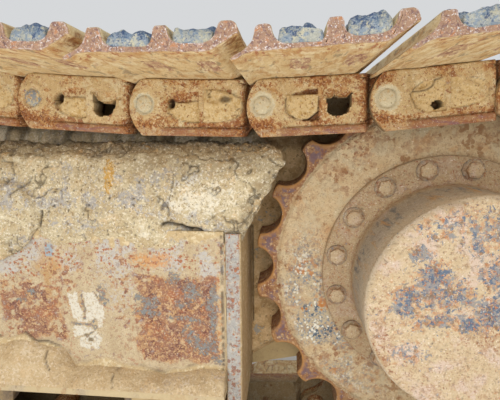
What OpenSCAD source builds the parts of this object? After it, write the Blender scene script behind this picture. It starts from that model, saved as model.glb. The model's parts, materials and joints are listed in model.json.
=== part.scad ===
// One side's crawler track unit of a tracked excavator of about 20 tonnes.
// X runs along the track with the drive end at +X, the outer side faces -Y,
// and Z is up from the tips of the lowest grousers.

/* [Track chain] */
// Distance from pin to pin
pitch = 190; // [170:1:210]
// Number of links and shoes in the loop
link_count = 45; // [41:1:49]
// Distance between the inner faces of the two rows of links
links_gap = 128; // [120:1:140]
// Thickness of one link along its pin
link_t = 34; // [24:1:38]
// Height of a link's rail below its pins
rail_drop = 50; // [46:1:54]
// Radius of a bushing
bushing_r = 21.5; // [20:0.5:23.5]
// Lift of the pins above the drive's axle over a carrier roller
carrier_lift = 333; // [326:1:345]

/* [Shoes] */
// Width of a shoe across the track
shoe_w = 600; // [500:10:700]
// Length of a shoe along the track
shoe_l = 200; // [196:1:204]
// Height of a shoe's underside above the pins
shoe_lift = 40; // [36:1:46]
// Thickness of a shoe's plate
plate_t = 9; // [7:0.5:14]
// Height of a grouser above the plate
grouser_h = 22; // [14:1:30]
// Width of a grouser at its top
grouser_w = 12; // [8:1:16]

/* [Sprocket and final drive] */
// Number of teeth, two to a link
teeth = 21; // [21:2:23]
// Height of the drive's axle above the ground
drive_h = 428; // [415:1:450]
// Angle at which the top run's last bushing leaves the sprocket
seat_angle = 112.5; // [106:0.1:116]
// Angle by which the worn teeth let the bushings run ahead of their gaps
tooth_lag = 1.5; // [0:0.1:1.5]
// Radius of the gap between two teeth
gap_r = 37; // [36:0.5:40]
// Reach of the teeth past the pin circle
tooth_reach = 9; // [4:1:14]
// Width of the toothed rim
rim_w = 70; // [60:1:76]
// Radius of the rim's bore behind the disc
rim_bore_r = 266; // [255:1:275]
// Thickness of the sprocket's disc
disc_t = 30; // [22:1:36]
// Radius of the disc's raised face
shoulder_r = 287; // [280:1:290]
// Distance of that face from the centre plane
disc_out = 39; // [36:1:42]
// Radius of the bolted flange on the hub
flange_r = 208; // [202:1:214]
// Thickness of that flange
flange_t = 14; // [10:1:20]
// Radius of the hub's drum
drum_r = 161; // [150:1:168]
// Distance of the drum's outer end from the track's centre plane
drum_end = 190; // [170:1:205]
// Depth of the cover on the drum's end
cover_t = 12; // [8:1:20]
// Radius of the travel motor
motor_r = 105; // [90:1:112]
// Reach of the travel motor past the centre plane
motor_end = 240; // [200:1:250]
// Thickness of the plate that carries the drive
bracket_t = 30; // [20:1:36]
// Distance of that plate's outer face from the centre plane
bracket_y = 62; // [58:1:70]
// Radius of that plate around the drive
bracket_r = 175; // [165:1:185]

/* [Idler] */
// Height of the idler's axle above the ground
idler_h = 406; // [395:1:420]
// Radius of the pins around the idler
idler_pin_r = 315; // [305:1:325]
// Running clearance between the idler and the chain
idler_clear = 5.3; // [5:0.1:8]
// Radius of the idler's axle
axle_r = 35; // [28:1:42]

/* [Rollers] */
// Number of track rollers under the frame
roller_count = 7; // [6:1:8]
// Radius of a track roller's tread
roller_r = 75; // [68:1:80]
// Radius of a track roller's flange
roller_flange_r = 88; // [82:1:92]
// Radius of a track roller's shaft
roller_shaft_r = 28; // [22:1:32]
// Distance of the first track roller from the drive
roller_start = 480; // [470:5:520]
// Distance of the last track roller from the idler
roller_end = 430; // [420:5:480]
// Radius of a carrier roller
carrier_r = 60; // [50:1:64]
// Distance of a carrier roller from the drive or the idler
carrier_x = 960; // [900:5:1050]

/* [Frame] */
// Width of the box frame
frame_w = 262; // [250:1:270]
// Room between the frame's floor and the flanges of the track rollers
floor_room = 14; // [10:1:20]
// Height of the underside of the side plates' ledges over the rollers' shafts
ledge_up = 44; // [40:1:50]
// Thickness of the side plates
side_t = 14; // [10:1:18]
// Height of the top edge of the frame's sides over the axle
frame_up = 70; // [50:1:80]
// Height of the frame's flat ridge over the axle
ridge_up = 112; // [100:1:120]
// Width of the flat ridge
ridge_w = 120; // [80:1:160]
// Width of the ledge outside each side plate's lower edge
ledge_w = 34; // [24:1:44]
// Thickness of the ledge
ledge_t = 12; // [8:1:16]
// Distance of the end plate's drive side from the drive's axle
end_x = 346; // [342:1:360]
// Thickness of the end plate
end_t = 26; // [16:1:32]
// Room between the end plate's foot and the rails of the lower run
end_room = 52; // [42:1:80]
// Distance from the idler's axle to the front of the box frame
box_gap = 380; // [350:5:420]
// Thickness of the two arms that guide the idler
arm_t = 21; // [16:1:26]

/* [Legs] */
// Distance between the two legs to the car body
leg_pitch = 1200; // [1000:10:1400]
// Length of a leg's box along the track
leg_l = 280; // [220:5:320]
// Height of a leg's box
leg_h = 170; // [140:5:180]
// Length of a leg's flange along the track
leg_flange_l = 420; // [400:5:460]
// Height of a leg's flange
leg_flange_h = 300; // [280:5:320]
// Thickness of a leg's flange
leg_flange_t = 30; // [20:1:40]
// Distance between bolt holes along the track
bolt_dx = 350; // [330:5:370]
// Distance between bolt holes in height
bolt_dz = 240; // [220:5:250]
// Radius of a bolt hole
bolt_r = 13; // [9:0.5:16]

/* [Mud] */
// Height of the mud on the roof over the drive's axle
mud_up = 236; // [180:1:238]
// Length of the mud on the roof from the drive's axle
mud_l = 900; // [600:10:900]
// Length of the mud on the ledge from the drive's axle
ledge_mud_l = 1300; // [800:10:1500]
// Gap that the teeth keep clear of the mud
mud_gap = 14; // [8:1:30]

/* [Hidden] */
$fn = 72;
// Two curved faces, or a shaft and its bore, lie this far apart
fit = 0.3;
// The idler turns on its axle with this clearance all round
run_fit = 0.08;

// The chain: half a link's angle on a wheel of pin radius r, and the radius
// whose arc is as long as the chords of the links
function half_link(r) = asin(pitch / 2 / r);
function arc_r(r) = pitch / (2 * half_link(r) * PI / 180);
sprocket_pin_r = pitch / 2 / sin(360 / teeth);
// The gaps between the teeth clear the bushings that run ahead of them
lag = sprocket_pin_r * tooth_lag * PI / 180;
gap_c = sprocket_pin_r + sqrt(pow(gap_r - bushing_r - fit, 2) - lag * lag);

shoe_top = shoe_lift + plate_t;
shoe_tip = shoe_top + grouser_h;
shoe_x = (pitch - shoe_l) / 2 - 17;
links_out = links_gap / 2 + link_t;
ground_pin = shoe_tip - drive_h;
rail_ground = ground_pin + rail_drop;
idler_z = idler_h - drive_h;
roller_z = rail_ground + roller_r + fit;
side_y = frame_w / 2;
box_z = roller_z + roller_flange_r + floor_room;
ledge_z = roller_z + ledge_up;
side_z = ledge_z + ledge_t;
end_z = rail_ground + end_room;
idler_tread = idler_pin_r * cos(half_link(idler_pin_r)) - rail_drop - idler_clear;
idler_flange = idler_tread + 22;

// The pin line, in the plane of the wheels, as [x, z, gain] from the drive's
// axle. The gain is the length of chain on each millimetre of the line.
function arc_line(c, r, a0, a1, n) =
    [for (i = [1:n]) let (a = a0 + (a1 - a0) * i / n)
        [c[0] + r * cos(a), c[1] + r * sin(a), arc_r(r) / r]];
function bend_line(a, b, c, d, n) =
    [for (i = [1:n]) let (t = i / n, u = 1 - t)
        concat(a * pow(u, 3) + 3 * b * u * u * t + 3 * c * u * t * t + d * pow(t, 3), [1])];
function polar(r, a) = [r * cos(a), r * sin(a)];
function turn(v) = atan2(v[1], v[0]);
// Where a line from p touches a circle round c, on side s
function touch(p, c, r, s) = turn(p - c) + s * acos(r / norm(p - c));

// The three spans of the top run leave and meet the rollers at these slopes
leave_slope = 4.5;
meet_slope = 6;
span_pull = 300;
// The lower run is level for one link past the rollers
ramp_a = [pitch - roller_start, ground_pin];
drive_low = touch(ramp_a, [0, 0], sprocket_pin_r, 1);

function loop_line(x) = let (
        seat = polar(sprocket_pin_r, seat_angle),
        c1 = [-carrier_x, carrier_lift],
        c2 = [x + carrier_x, carrier_lift],
        hub = [x, idler_z],
        top = hub + [0, idler_pin_r],
        ramp_b = [x + roller_end - pitch, ground_pin],
        low = touch(ramp_b, hub, idler_pin_r, -1) + 360,
        mid_pull = (c1[0] - c2[0]) / 3)
    concat(
        [concat(seat, [1])],
        bend_line(seat, seat + polar(span_pull, 180 + leave_slope),
            c1 + polar(span_pull * 0.83, meet_slope * -1), c1, 24),
        bend_line(c1, c1 + polar(mid_pull, 180 + meet_slope),
            c2 + polar(mid_pull, -meet_slope), c2, 24),
        bend_line(c2, c2 + polar(span_pull, 180 + meet_slope),
            top + [span_pull, 0], top, 24),
        arc_line(hub, idler_pin_r, 90, low, 40),
        [concat(ramp_b, [1]), concat(ramp_a, [1])],
        [concat(polar(sprocket_pin_r, drive_low), [1])],
        arc_line([0, 0], sprocket_pin_r, drive_low, seat_angle, 60));

// Length along the line at each of its points
function lengths(p) = [for (i = 0, s = 0; i < len(p); i = i + 1,
    s = i < len(p) ? s + p[i][2] * norm([p[i][0] - p[i - 1][0], p[i][1] - p[i - 1][1]]) : s) s];
function loop_length(x) = let (s = lengths(loop_line(x))) s[len(s) - 1];
// The adjuster moves the idler until the loop is a whole number of links
function adjust(x, n) = n == 0 ? x
    : adjust(x + (loop_length(x) - link_count * pitch) / 2, n - 1);
idler_x = adjust(-pitch * link_count / 2.6, 8);

line = loop_line(idler_x);
line_s = lengths(line);
by_x = [for (i = [0:len(line) - 1]) [line_s[i], line[i][0]]];
by_z = [for (i = [0:len(line) - 1]) [line_s[i], line[i][1]]];
pins = [for (i = [0:link_count - 1]) [lookup(i * pitch, by_x), lookup(i * pitch, by_z)]];

// A point of link i, x along it from its outer pin and z away from the loop
function link_angle(i) = turn(pins[i] - pins[(i + 1) % link_count]);
function on_link(i, p) = let (a = link_angle(i))
    pins[(i + 1) % link_count] + [p[0] * cos(a) - p[1] * sin(a), p[0] * sin(a) + p[1] * cos(a)];
// Height over x of the rails of the upper run's link that spans x
function upper_link(x) = [for (i = [0:floor(link_count / 2)])
    if (pins[i][0] >= x && pins[i + 1][0] < x) i][0];
function rail_over(x) = let (i = upper_link(x), a = link_angle(i), p = on_link(i, [0, -rail_drop]))
    p[1] + (x - p[0]) * tan(a);
function ring(profile) = [for (i = [link_count - 1:-1:0]) for (p = profile) on_link(i, p)];
// The line between the links and their shoes, one corner at each pin
seat_line = [for (i = [0:link_count - 1]) let (
        a = link_angle(i) + 90, b = link_angle((i + link_count - 1) % link_count) + 90,
        m = polar(1, a) + polar(1, b))
    pins[i] + m * shoe_lift / (m * m) * 2];

// Grousers start this far along a shoe
grousers = [36, 106, 178 - grouser_w / 2];
shoe_profile = concat([[shoe_x, shoe_top - 4]],
    [for (g = grousers) each [[shoe_x + g, shoe_top], [shoe_x + g + 3, shoe_tip],
        [shoe_x + g + 3 + grouser_w, shoe_tip], [shoe_x + g + 6 + grouser_w, shoe_top]]],
    [[shoe_x + shoe_l - 8, shoe_top - 2]]);
rail_profile = [[28, 8 - rail_drop], [44, -rail_drop], [pitch - 44, -rail_drop],
    [pitch - 28, 8 - rail_drop]];

shoe_ring = ring(shoe_profile);
shift_x = (max([for (p = shoe_ring) p[0]]) + min([for (p = shoe_ring) p[0]])) / 2;
box_front = idler_x + box_gap;
leg_mid = (idler_x) / 2;
legs = [leg_mid + leg_pitch / 2, leg_mid - leg_pitch / 2];
leg_z = (frame_up + side_z) / 2 + 20;

rollers = [for (i = [0:roller_count - 1])
    -roller_start + i * (idler_x + roller_end + roller_start) / (roller_count - 1)];
carriers = [-carrier_x, idler_x + carrier_x];
carrier_z = [for (x = carriers) rail_over(x) - (carrier_r + fit) / cos(link_angle(upper_link(x)))];

// The frame that the tools see: the drive's axle at its real place
module placed() { translate([-shift_x, 0, drive_h]) children(); }

// An outline in X and Z, given depth from y0 to y1
module along_y(y0, y1) {
    translate([0, y1, 0]) rotate([90, 0, 0]) linear_extrude(y1 - y0) children();
}

// An outline in Y and Z, given length from x0 to x1
module along_x(x0, x1) {
    translate([x0, 0, 0]) rotate([90, 0, 90]) linear_extrude(x1 - x0) children();
}

// A profile of [radius, y] points, turned about the Y axis
module turned(points) { rotate([-90, 0, 0]) rotate_extrude() polygon(points); }

// The same piece on the outer and the inner side
module both_sides() { children(); mirror([0, 1, 0]) children(); }

// The box, its side plates reaching below its floor, and a ledge under each
module track_frame() {
    color("#B9AA90") placed() along_x(box_front, -end_x - end_t) difference() {
        union() {
            polygon([[-side_y, ledge_z], [side_y, ledge_z], [side_y, frame_up],
                [ridge_w / 2, ridge_up], [-ridge_w / 2, ridge_up], [-side_y, frame_up]]);
            translate([-side_y - ledge_w, ledge_z]) square([frame_w + 2 * ledge_w, ledge_t]);
        }
        translate([side_t - side_y, ledge_z]) square([frame_w - 2 * side_t, box_z - ledge_z]);
    }
}

module frame_end_plate() {
    color("#B9BFC4") placed() along_x(-end_x - end_t, -end_x)
        translate([-side_y - 3, end_z]) square([frame_w + 6, frame_up + 18 - end_z]);
}

// Two arms on each side of the idler, with a slot for its sliding block
slot_h = 2 * axle_r + 26;
guide_back = box_front + 180;
block_l = 4 * axle_r;
module idler_guides() {
    color("#B9AA90") placed() both_sides() along_y(-side_y - arm_t, -side_y) difference() {
        translate([idler_x - block_l / 2 - 20, box_z])
            square([guide_back - idler_x + block_l / 2 + 20, frame_up - box_z]);
        translate([idler_x - block_l / 2 - 21, idler_z - slot_h / 2]) square([block_l + 50, slot_h]);
    }
}

module drive_bracket() {
    top = [-end_x, frame_up + 10];
    foot = [-end_x, end_z];
    color("#C3B18C") placed() along_y(bracket_y, bracket_y + bracket_t) difference() {
        union() {
            circle(bracket_r);
            polygon([top, foot, polar(bracket_r, touch(foot, [0, 0], bracket_r, 1)), [0, 0],
                polar(bracket_r, touch(top, [0, 0], bracket_r, -1))]);
        }
        circle(motor_r + fit);
    }
}

module drive_spindle() {
    r = drum_r - 19;
    color("#8E8672") placed() turned([[0, 10 + fit], [r, 10 + fit], [r, bracket_y - 16],
        [r + 18, bracket_y - 14], [r + 18, bracket_y], [0, bracket_y]]);
}

module travel_motor() {
    y = bracket_y + bracket_t;
    color("#6F6A60") placed() {
        turned([[0, bracket_y], [motor_r, bracket_y], [motor_r, y], [motor_r + 28, y],
            [motor_r + 28, y + 18], [motor_r, y + 22], [motor_r, motor_end - 12],
            [motor_r - 12, motor_end], [0, motor_end]]);
    }
}

module motor_guard() {
    y = bracket_y + bracket_t;
    color("#B9AA90") placed() along_y(y, motor_end + 22) difference() {
        circle(bracket_r - 8);
        circle(bracket_r - 20);
        translate([-bracket_r, -bracket_r - 60]) square([2 * bracket_r, bracket_r]);
    }
}

// A gap between teeth and the rounded tip of the tooth after it
tooth_tip = sprocket_pin_r + tooth_reach;
gap_turn = 360 / teeth;
function tooth(k) = let (
        a = seat_angle - tooth_lag + k * gap_turn, b = a + gap_turn / 2)
    concat([for (i = [0:9]) polar(gap_c, a) + polar(gap_r, a + 256 - i * 152 / 9)],
        [for (e = [[-1.7, 2], [-0.6, 0], [0.6, 0], [1.7, 2]]) polar(tooth_tip - e[1], b + e[0])]);

module sprocket() {
    outline = [for (k = [0:teeth - 1]) each tooth(k)];
    color("#B99A74") placed() {
        difference() {
            union() {
                along_y(-rim_w / 2, rim_w / 2) difference() { polygon(outline); circle(rim_bore_r); }
                along_y(-disc_out, disc_t - disc_out) circle(shoulder_r);
            }
            along_y(-rim_w, rim_w) circle(drum_r + 3);
        }
    }
}

// The drum flares into its flange in a quarter curve
flare_r = 12;
module hub_drum() {
    face = -disc_out - flange_t;
    flare = [for (i = [0:6]) [drum_r + flare_r * (1 - sin(i * 15)), face - flare_r * (1 - cos(i * 15))]];
    color("#B7A488") placed() turned(concat([[0, 10], [drum_r - 11, 10], [drum_r - 11, -2], [drum_r, -2],
        [drum_r, -disc_out], [flange_r, -disc_out], [flange_r, face]], flare,
        [[drum_r, -drum_end], [0, -drum_end]]));
}

// The cover's rim is rounded over its full depth
module hub_cover() {
    edge = [for (i = [0:6]) [drum_r + 2 - cover_t * (1 - cos(i * 15)), -drum_end - cover_t * sin(i * 15)]];
    color("#D9C89A") placed() turned(concat([[0, -drum_end]], edge, [[0, -drum_end - cover_t]]));
}

rail_in = links_gap / 2;
module idler_wheel() {
    hub_r = axle_r + 40;
    rim_r = idler_tread - 29;
    half = [[hub_r, links_out - 3], [hub_r + 13, rail_in - 12], [rim_r - 16, rail_in - 30],
        [rim_r, links_out - 6], [idler_tread - 8, links_out + 2], [idler_tread, links_out - 2],
        [idler_tread, rail_in - 4], [idler_flange, rail_in - 12]];
    bore = axle_r + run_fit;
    both = concat([[bore, links_out - 3]], half,
        [for (i = [len(half) - 1:-1:0]) [half[i][0], -half[i][1]]], [[bore, 3 - links_out]]);
    color("#8A7762") placed() translate([idler_x, 0, idler_z]) turned(both);
}

yoke_y = [links_out + 8, side_y - 3];
block_y = side_y + fit;
module idler_axle() {
    color("#6E6860") placed() translate([idler_x, 0, idler_z])
        along_y(-block_y - 40, block_y + 40) circle(axle_r);
}

eye_r = axle_r + 27;
module idler_yoke() {
    reach = idler_flange + 30;
    color("#A08D70") placed() translate([idler_x, 0, idler_z]) {
        both_sides() along_y(-yoke_y[1], -yoke_y[0]) difference() {
            union() { circle(eye_r); translate([0, 18 - eye_r]) square([reach + 30, 2 * eye_r - 36]); }
            circle(axle_r + fit);
        }
        along_x(reach, reach + 30) translate([-yoke_y[0], 2 - eye_r])
            square([2 * yoke_y[0], 2 * eye_r - 4]);
    }
}

module idler_blocks() {
    color("#8E8672") placed() translate([idler_x, 0, idler_z])
        both_sides() along_y(-block_y - 28, -block_y) difference() {
            translate([-block_l / 2, 0.5 - slot_h / 2]) square([block_l, slot_h - 1]);
            circle(axle_r + fit);
        }
}

module tension_rod() {
    color("#9A9A98") placed() translate([0, 0, idler_z])
        along_x(idler_x + idler_flange + 60 + fit, box_front - fit) circle(42);
}

collar_y = [side_y - side_t, side_y + 16];
module track_roller(i) {
    half = [[roller_shaft_r, collar_y[1]], [roller_shaft_r, links_out + 12],
        [roller_flange_r - 4, links_out + 12], [roller_flange_r, links_out + 8],
        [roller_flange_r, links_out + 4], [roller_r, links_out],
        [roller_r, rail_in - 4], [roller_r - 14, rail_in - 16]];
    both = concat([[0, collar_y[1]]], half,
        [for (i = [len(half) - 1:-1:0]) [half[i][0], -half[i][1]]], [[0, -collar_y[1]]]);
    color("#7A6A58") placed() translate([rollers[i - 1], 0, roller_z]) turned(both);
}

module roller_collars() {
    r = ledge_up - 2;
    color("#9C8B70") placed() for (x = rollers) both_sides()
        along_y(-collar_y[1], -collar_y[0]) difference() {
            union() {
                translate([x, roller_z]) circle(r);
                translate([x - r, roller_z]) square([2 * r, ledge_up]);
                translate([x - r - 14, ledge_z - 24]) square([2 * r + 28, 24]);
            }
            translate([x, roller_z]) circle(roller_shaft_r + fit);
        }
}

module carrier_roller(i) {
    color("#7A6A58") placed() translate([carriers[i - 1], 0, carrier_z[i - 1]]) turned([[0, -106],
        [34, -106], [36, -102], [carrier_r, -98], [carrier_r, -rail_in + 6],
        [carrier_r - 10, -rail_in + 12], [carrier_r - 10, rail_in - 12],
        [carrier_r, rail_in - 6], [carrier_r, 98], [carrier_r - 8, 102], [25, 102],
        [25, 156], [0, 156]]);
}

module carrier_bracket(i) {
    x = carriers[i - 1];
    z = carrier_z[i - 1];
    color("#B9AA90") placed() {
        along_x(x - 60, x + 60) translate([-ridge_w / 2, ridge_up])
            square([ridge_w / 2 + 150, 20]);
        along_y(110, 150) difference() {
            union() {
                translate([x, z]) circle(44);
                translate([x - 44, ridge_up + 20]) square([88, z - ridge_up - 20]);
            }
            translate([x, z]) circle(25 + fit);
        }
    }
}

// Plates between the rollers that keep the chain in line
guide_l = 290;
module chain_guides() {
    mid = [for (i = [1, roller_count - 3]) (rollers[i] + rollers[i + 1]) / 2];
    color("#9C8B70") placed() for (x = mid) both_sides()
        along_y(-side_y - 32, -side_y - 18) polygon([[x - guide_l / 2, ledge_z],
            [x + guide_l / 2, ledge_z], [x + guide_l / 2 - 30, rail_ground - 16],
            [x - guide_l / 2 + 30, rail_ground - 16]]);
}

module grease_cover() {
    color("#B9AA90") placed() translate([box_front + 420, 0, -20])
        along_y(-side_y - 6, -side_y) { circle(60); translate([-60, -60]) square([120, 60]); }
}

module leg(x) {
    y = shoe_w / 2;
    color("#C9A050") placed() translate([x, 0, leg_z]) {
        along_y(side_y, y - leg_flange_t) translate([-leg_l / 2, -leg_h / 2]) square([leg_l, leg_h]);
        along_y(y - leg_flange_t, y) difference() {
            translate([-leg_flange_l / 2, -leg_flange_h / 2]) square([leg_flange_l, leg_flange_h]);
            for (i = [-1, 1], j = [-1, 1]) translate([i * bolt_dx / 2, j * bolt_dz / 2]) circle(bolt_r);
        }
    }
}

module track_shoes() {
    color("#B98A70") placed() along_y(-shoe_w / 2, shoe_w / 2)
        difference() { polygon(shoe_ring); polygon(seat_line); }
}

module link_row(side) {
    mid = side * (links_gap + link_t) / 2;
    color("#C8A872") placed() along_y(mid - link_t / 2, mid + link_t / 2)
        difference() { polygon(seat_line); polygon(ring(rail_profile)); }
}

module bushings() {
    color("#8A7762") placed() along_y(-rail_in, rail_in)
        for (p = pins) translate(p) circle(bushing_r, $fn = 6);
}

module mud_on_roof() {
    color("#CDBB93") placed() difference() {
        along_x(-mud_l, -sprocket_pin_r + 72) polygon([[-side_y, frame_up],
            [-ridge_w / 2, ridge_up], [ridge_w / 2, ridge_up], [side_y, frame_up],
            [118, 130], [96, mud_up - 44], [60, mud_up - 8], [0, mud_up],
            [-60, mud_up - 4], [-100, mud_up - 40], [-125, 130]]);
        along_x(-end_x - end_t, 0) translate([-200, 0]) square([400, frame_up + 18]);
        along_y(-200, 200) circle(tooth_tip + mud_gap);
    }
}

module mud_on_ledge() {
    y = -side_y;
    z = side_z;
    color("#CDBB93") placed() along_x(-ledge_mud_l, -end_x - end_t) polygon([[y, z],
        [y - ledge_w, z], [y - ledge_w * 0.85, z + 22], [y - ledge_w * 0.4, z + 50], [y, z + 66]]);
}

track_frame();
frame_end_plate();
idler_guides();
drive_bracket();
drive_spindle();
travel_motor();
motor_guard();
sprocket();
hub_drum();
hub_cover();
idler_wheel();
idler_axle();
idler_yoke();
idler_blocks();
tension_rod();
roller_collars();
chain_guides();
grease_cover();
leg(legs[0]);  // leg_rear
leg(legs[1]);  // leg_front
track_shoes();
link_row(-1);  // links_outer
link_row(1);  // links_inner
bushings();
mud_on_roof();
mud_on_ledge();
for (i = [1:roller_count])
    track_roller(i);
for (i = [1:2]) {
    carrier_roller(i);
    carrier_bracket(i);
}
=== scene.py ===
import json
import bpy
import numpy as np
from mathutils import Matrix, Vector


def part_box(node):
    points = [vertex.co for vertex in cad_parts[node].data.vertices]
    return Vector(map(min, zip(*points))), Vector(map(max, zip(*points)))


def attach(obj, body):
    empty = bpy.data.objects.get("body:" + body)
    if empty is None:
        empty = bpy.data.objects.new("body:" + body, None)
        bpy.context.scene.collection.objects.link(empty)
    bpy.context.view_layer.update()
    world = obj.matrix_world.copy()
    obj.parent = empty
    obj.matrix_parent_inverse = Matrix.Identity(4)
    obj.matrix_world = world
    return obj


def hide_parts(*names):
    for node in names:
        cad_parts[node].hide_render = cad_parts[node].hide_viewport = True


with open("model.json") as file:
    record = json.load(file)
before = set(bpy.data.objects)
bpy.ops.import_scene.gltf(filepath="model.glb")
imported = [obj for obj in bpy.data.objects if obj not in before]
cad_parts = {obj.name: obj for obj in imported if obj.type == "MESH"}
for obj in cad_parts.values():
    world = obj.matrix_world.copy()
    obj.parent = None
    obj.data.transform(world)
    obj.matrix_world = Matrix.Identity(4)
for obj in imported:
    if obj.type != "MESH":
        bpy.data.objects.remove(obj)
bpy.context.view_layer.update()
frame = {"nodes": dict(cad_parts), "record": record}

# Lengths are in mm from the drive's axle until putMesh places them in the frame
low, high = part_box("hub_cover")
axle = np.array([(low[0] + high[0]) / 2, 0, (low[2] + high[2]) / 2]) * 1000
dice = np.random.default_rng(11).random(4096)


# A number from 0 to 1 for each whole place, from the dice
def lattice(ix, iy, iz, seed):
    h = (ix * 73856093) ^ (iy * 19349663) ^ (iz * 83492791) ^ (seed * 265443577)
    return dice[(h ^ (h >> 13)) & 4095]


# Value noise: corner values blended with t*t*(3-2t), from -1 to 1
def noise(p, size, seed=0):
    q = p / np.asarray(size, float)
    i = np.floor(q).astype(np.int64)
    t = q - i
    t = t * t * (3 - 2 * t)
    total = 0
    for dx, dy, dz in np.ndindex(2, 2, 2):
        w = (t[..., 0] if dx else 1 - t[..., 0]) * (t[..., 1] if dy else 1 - t[..., 1]) \
            * (t[..., 2] if dz else 1 - t[..., 2])
        total = total + w * lattice(i[..., 0] + dx, i[..., 1] + dy, i[..., 2] + dz, seed)
    return total * 2 - 1


# Sum of noises, each half as wide and as strong as the one before
def fractal(p, size, layers=4, seed=0):
    total, reach = 0, 0.0
    size = np.asarray(size, float)
    for k in range(layers):
        total = total + 0.5 ** k * noise(p + 17.3 * k, size / 2 ** k, seed + 31 * k)
        reach += 0.5 ** k
    return total / reach


# Distance to the nearest scattered point, in cells, and that point's own number from 0 to 1
def cells(p, size, seed=0):
    q = p / np.asarray(size, float)
    i = np.floor(q).astype(np.int64)
    near = np.full(q.shape[:-1], 9.0)
    number = near.copy()
    for step in np.ndindex(3, 3, 3):
        c = i + np.array(step) - 1
        jitter = vec(*(lattice(c[..., 0], c[..., 1], c[..., 2], seed + s) for s in (1, 2, 3)))
        d = np.linalg.norm(c + jitter - q, axis=-1)
        number = np.where(d < near, jitter[..., 0], number)
        near = np.minimum(near, d)
    return near, number


# The arrays and numbers as one array of vectors
def vec(*parts):
    return np.stack(np.broadcast_arrays(*parts), -1)


# From 0 at a to 1 at b, level at both ends
def ease(v, a, b):
    t = np.clip((v - a) / (b - a), 0, 1)
    return t * t * (3 - 2 * t)


# 1 at 0, and nearly 0 beyond twice the width
def bell(v, width):
    return np.exp(-(v / width) ** 2)


def greatest(*values):
    return np.maximum.reduce(np.broadcast_arrays(*values))


def least(*values):
    return np.minimum.reduce(np.broadcast_arrays(*values))


# Distance in the plane from points (x, z) to a broken line
def lineGap(x, z, line):
    best = np.full(x.shape, 1e9)
    line = np.asarray(line, float)
    for a, b in zip(line[:-1], line[1:]):
        d = b - a
        t = np.clip(((x - a[0]) * d[0] + (z - a[1]) * d[1]) / (d @ d), 0, 1)
        best = np.minimum(best, np.hypot(x - a[0] - t * d[0], z - a[1] - t * d[1]))
    return best


# 1 in the middle of an ellipse, 0 outside, with an edge of the given softness
def blot(x, z, cx, cz, rx, rz, soft=0.4):
    return 1 - ease(np.hypot((x - cx) / rx, (z - cz) / rz), 1 - soft, 1 + soft)


# The sum of blots, each (strength, cx, cz, rx, rz, softness)
def blots(x, z, rows):
    return sum(strength * blot(x, z, *row) for strength, *row in rows)


def gridFaces(nu, nv, wrapU=False, wrapV=False):
    i = np.arange(nu if wrapU else nu - 1)[:, None]
    j = np.arange(nv if wrapV else nv - 1)[None, :]
    i2, j2 = (i + 1) % nu, (j + 1) % nv
    return vec(i * nv + j, i2 * nv + j, i2 * nv + j2, i * nv + j2).reshape(-1, 4)


# Unit normals of a grid, the cross product of its two differences, turned so that y is negative at one place
def gridNormals(p, place, wrapV=False):
    dv = (np.roll(p, -1, 1) - np.roll(p, 1, 1)) / 2 if wrapV else np.gradient(p, axis=1)
    n = np.cross(np.gradient(p, axis=0), dv)
    n = n / np.maximum(np.linalg.norm(n, axis=-1, keepdims=True), 1e-9)
    return -n if n[place][1] > 0 else n


# Parts (points, [faces], {mask: values}) as one; a mask that a part lacks is 0 on it
def joined(parts):
    keys = dict.fromkeys(key for part in parts for key in part[2])
    points, faces, masks, start = [], {}, {key: [] for key in keys}, 0
    for p, fs, m in parts:
        p = np.asarray(p, float).reshape(-1, 3)
        points.append(p)
        for f in fs:
            faces.setdefault(f.shape[1], []).append(f + start)
        for key in keys:
            masks[key].append(np.broadcast_to(np.ravel(m.get(key, 0.0)), (len(p),)))
        start += len(p)
    return (np.concatenate(points), [np.concatenate(f) for f in faces.values()],
            {key: np.concatenate(values) for key, values in masks.items()})


# Makes one piece of its parts, turns its faces outward and stores its masks at the points
def putMesh(name, parts, finish, body="root", sharp=None, instead=()):
    points, faces, masks = joined(parts)
    volume = 0
    for f in faces:
        a, b, c = points[f[:, 0]], points[f[:, 1]], points[f[:, 2]]
        volume += np.einsum("ij,ij->i", a, np.cross(b, c)).sum()
        if f.shape[1] == 4:
            volume += np.einsum("ij,ij->i", a, np.cross(c, points[f[:, 3]])).sum()
    if volume < 0:
        faces = [f[:, ::-1] for f in faces]
    mesh = bpy.data.meshes.new(name)
    mesh.vertices.add(len(points))
    mesh.vertices.foreach_set("co", ((points + axle) / 1000).astype(np.float32).ravel())
    corners = np.concatenate([f.ravel() for f in faces])
    sizes = np.concatenate([np.full(len(f), f.shape[1]) for f in faces])
    mesh.loops.add(len(corners))
    mesh.loops.foreach_set("vertex_index", corners.astype(np.int32))
    mesh.polygons.add(len(sizes))
    mesh.polygons.foreach_set("loop_start", (np.cumsum(sizes) - sizes).astype(np.int32))
    mesh.polygons.foreach_set("use_smooth", np.ones(len(sizes), bool))
    mesh.update(calc_edges=True)
    mesh.validate()
    for key, values in masks.items():
        layer = mesh.attributes.new(key, "FLOAT", "POINT")
        layer.data.foreach_set("value", values.astype(np.float32))
    if sharp:
        mesh.set_sharp_from_angle(angle=np.radians(sharp))
    piece = bpy.data.objects.new(name, mesh)
    bpy.context.scene.collection.objects.link(piece)
    mesh.materials.append(finish)
    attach(piece, body)
    if instead:
        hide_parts(*instead)
    print(f"{name}: {len(points)} points, {len(sizes)} faces")


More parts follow.
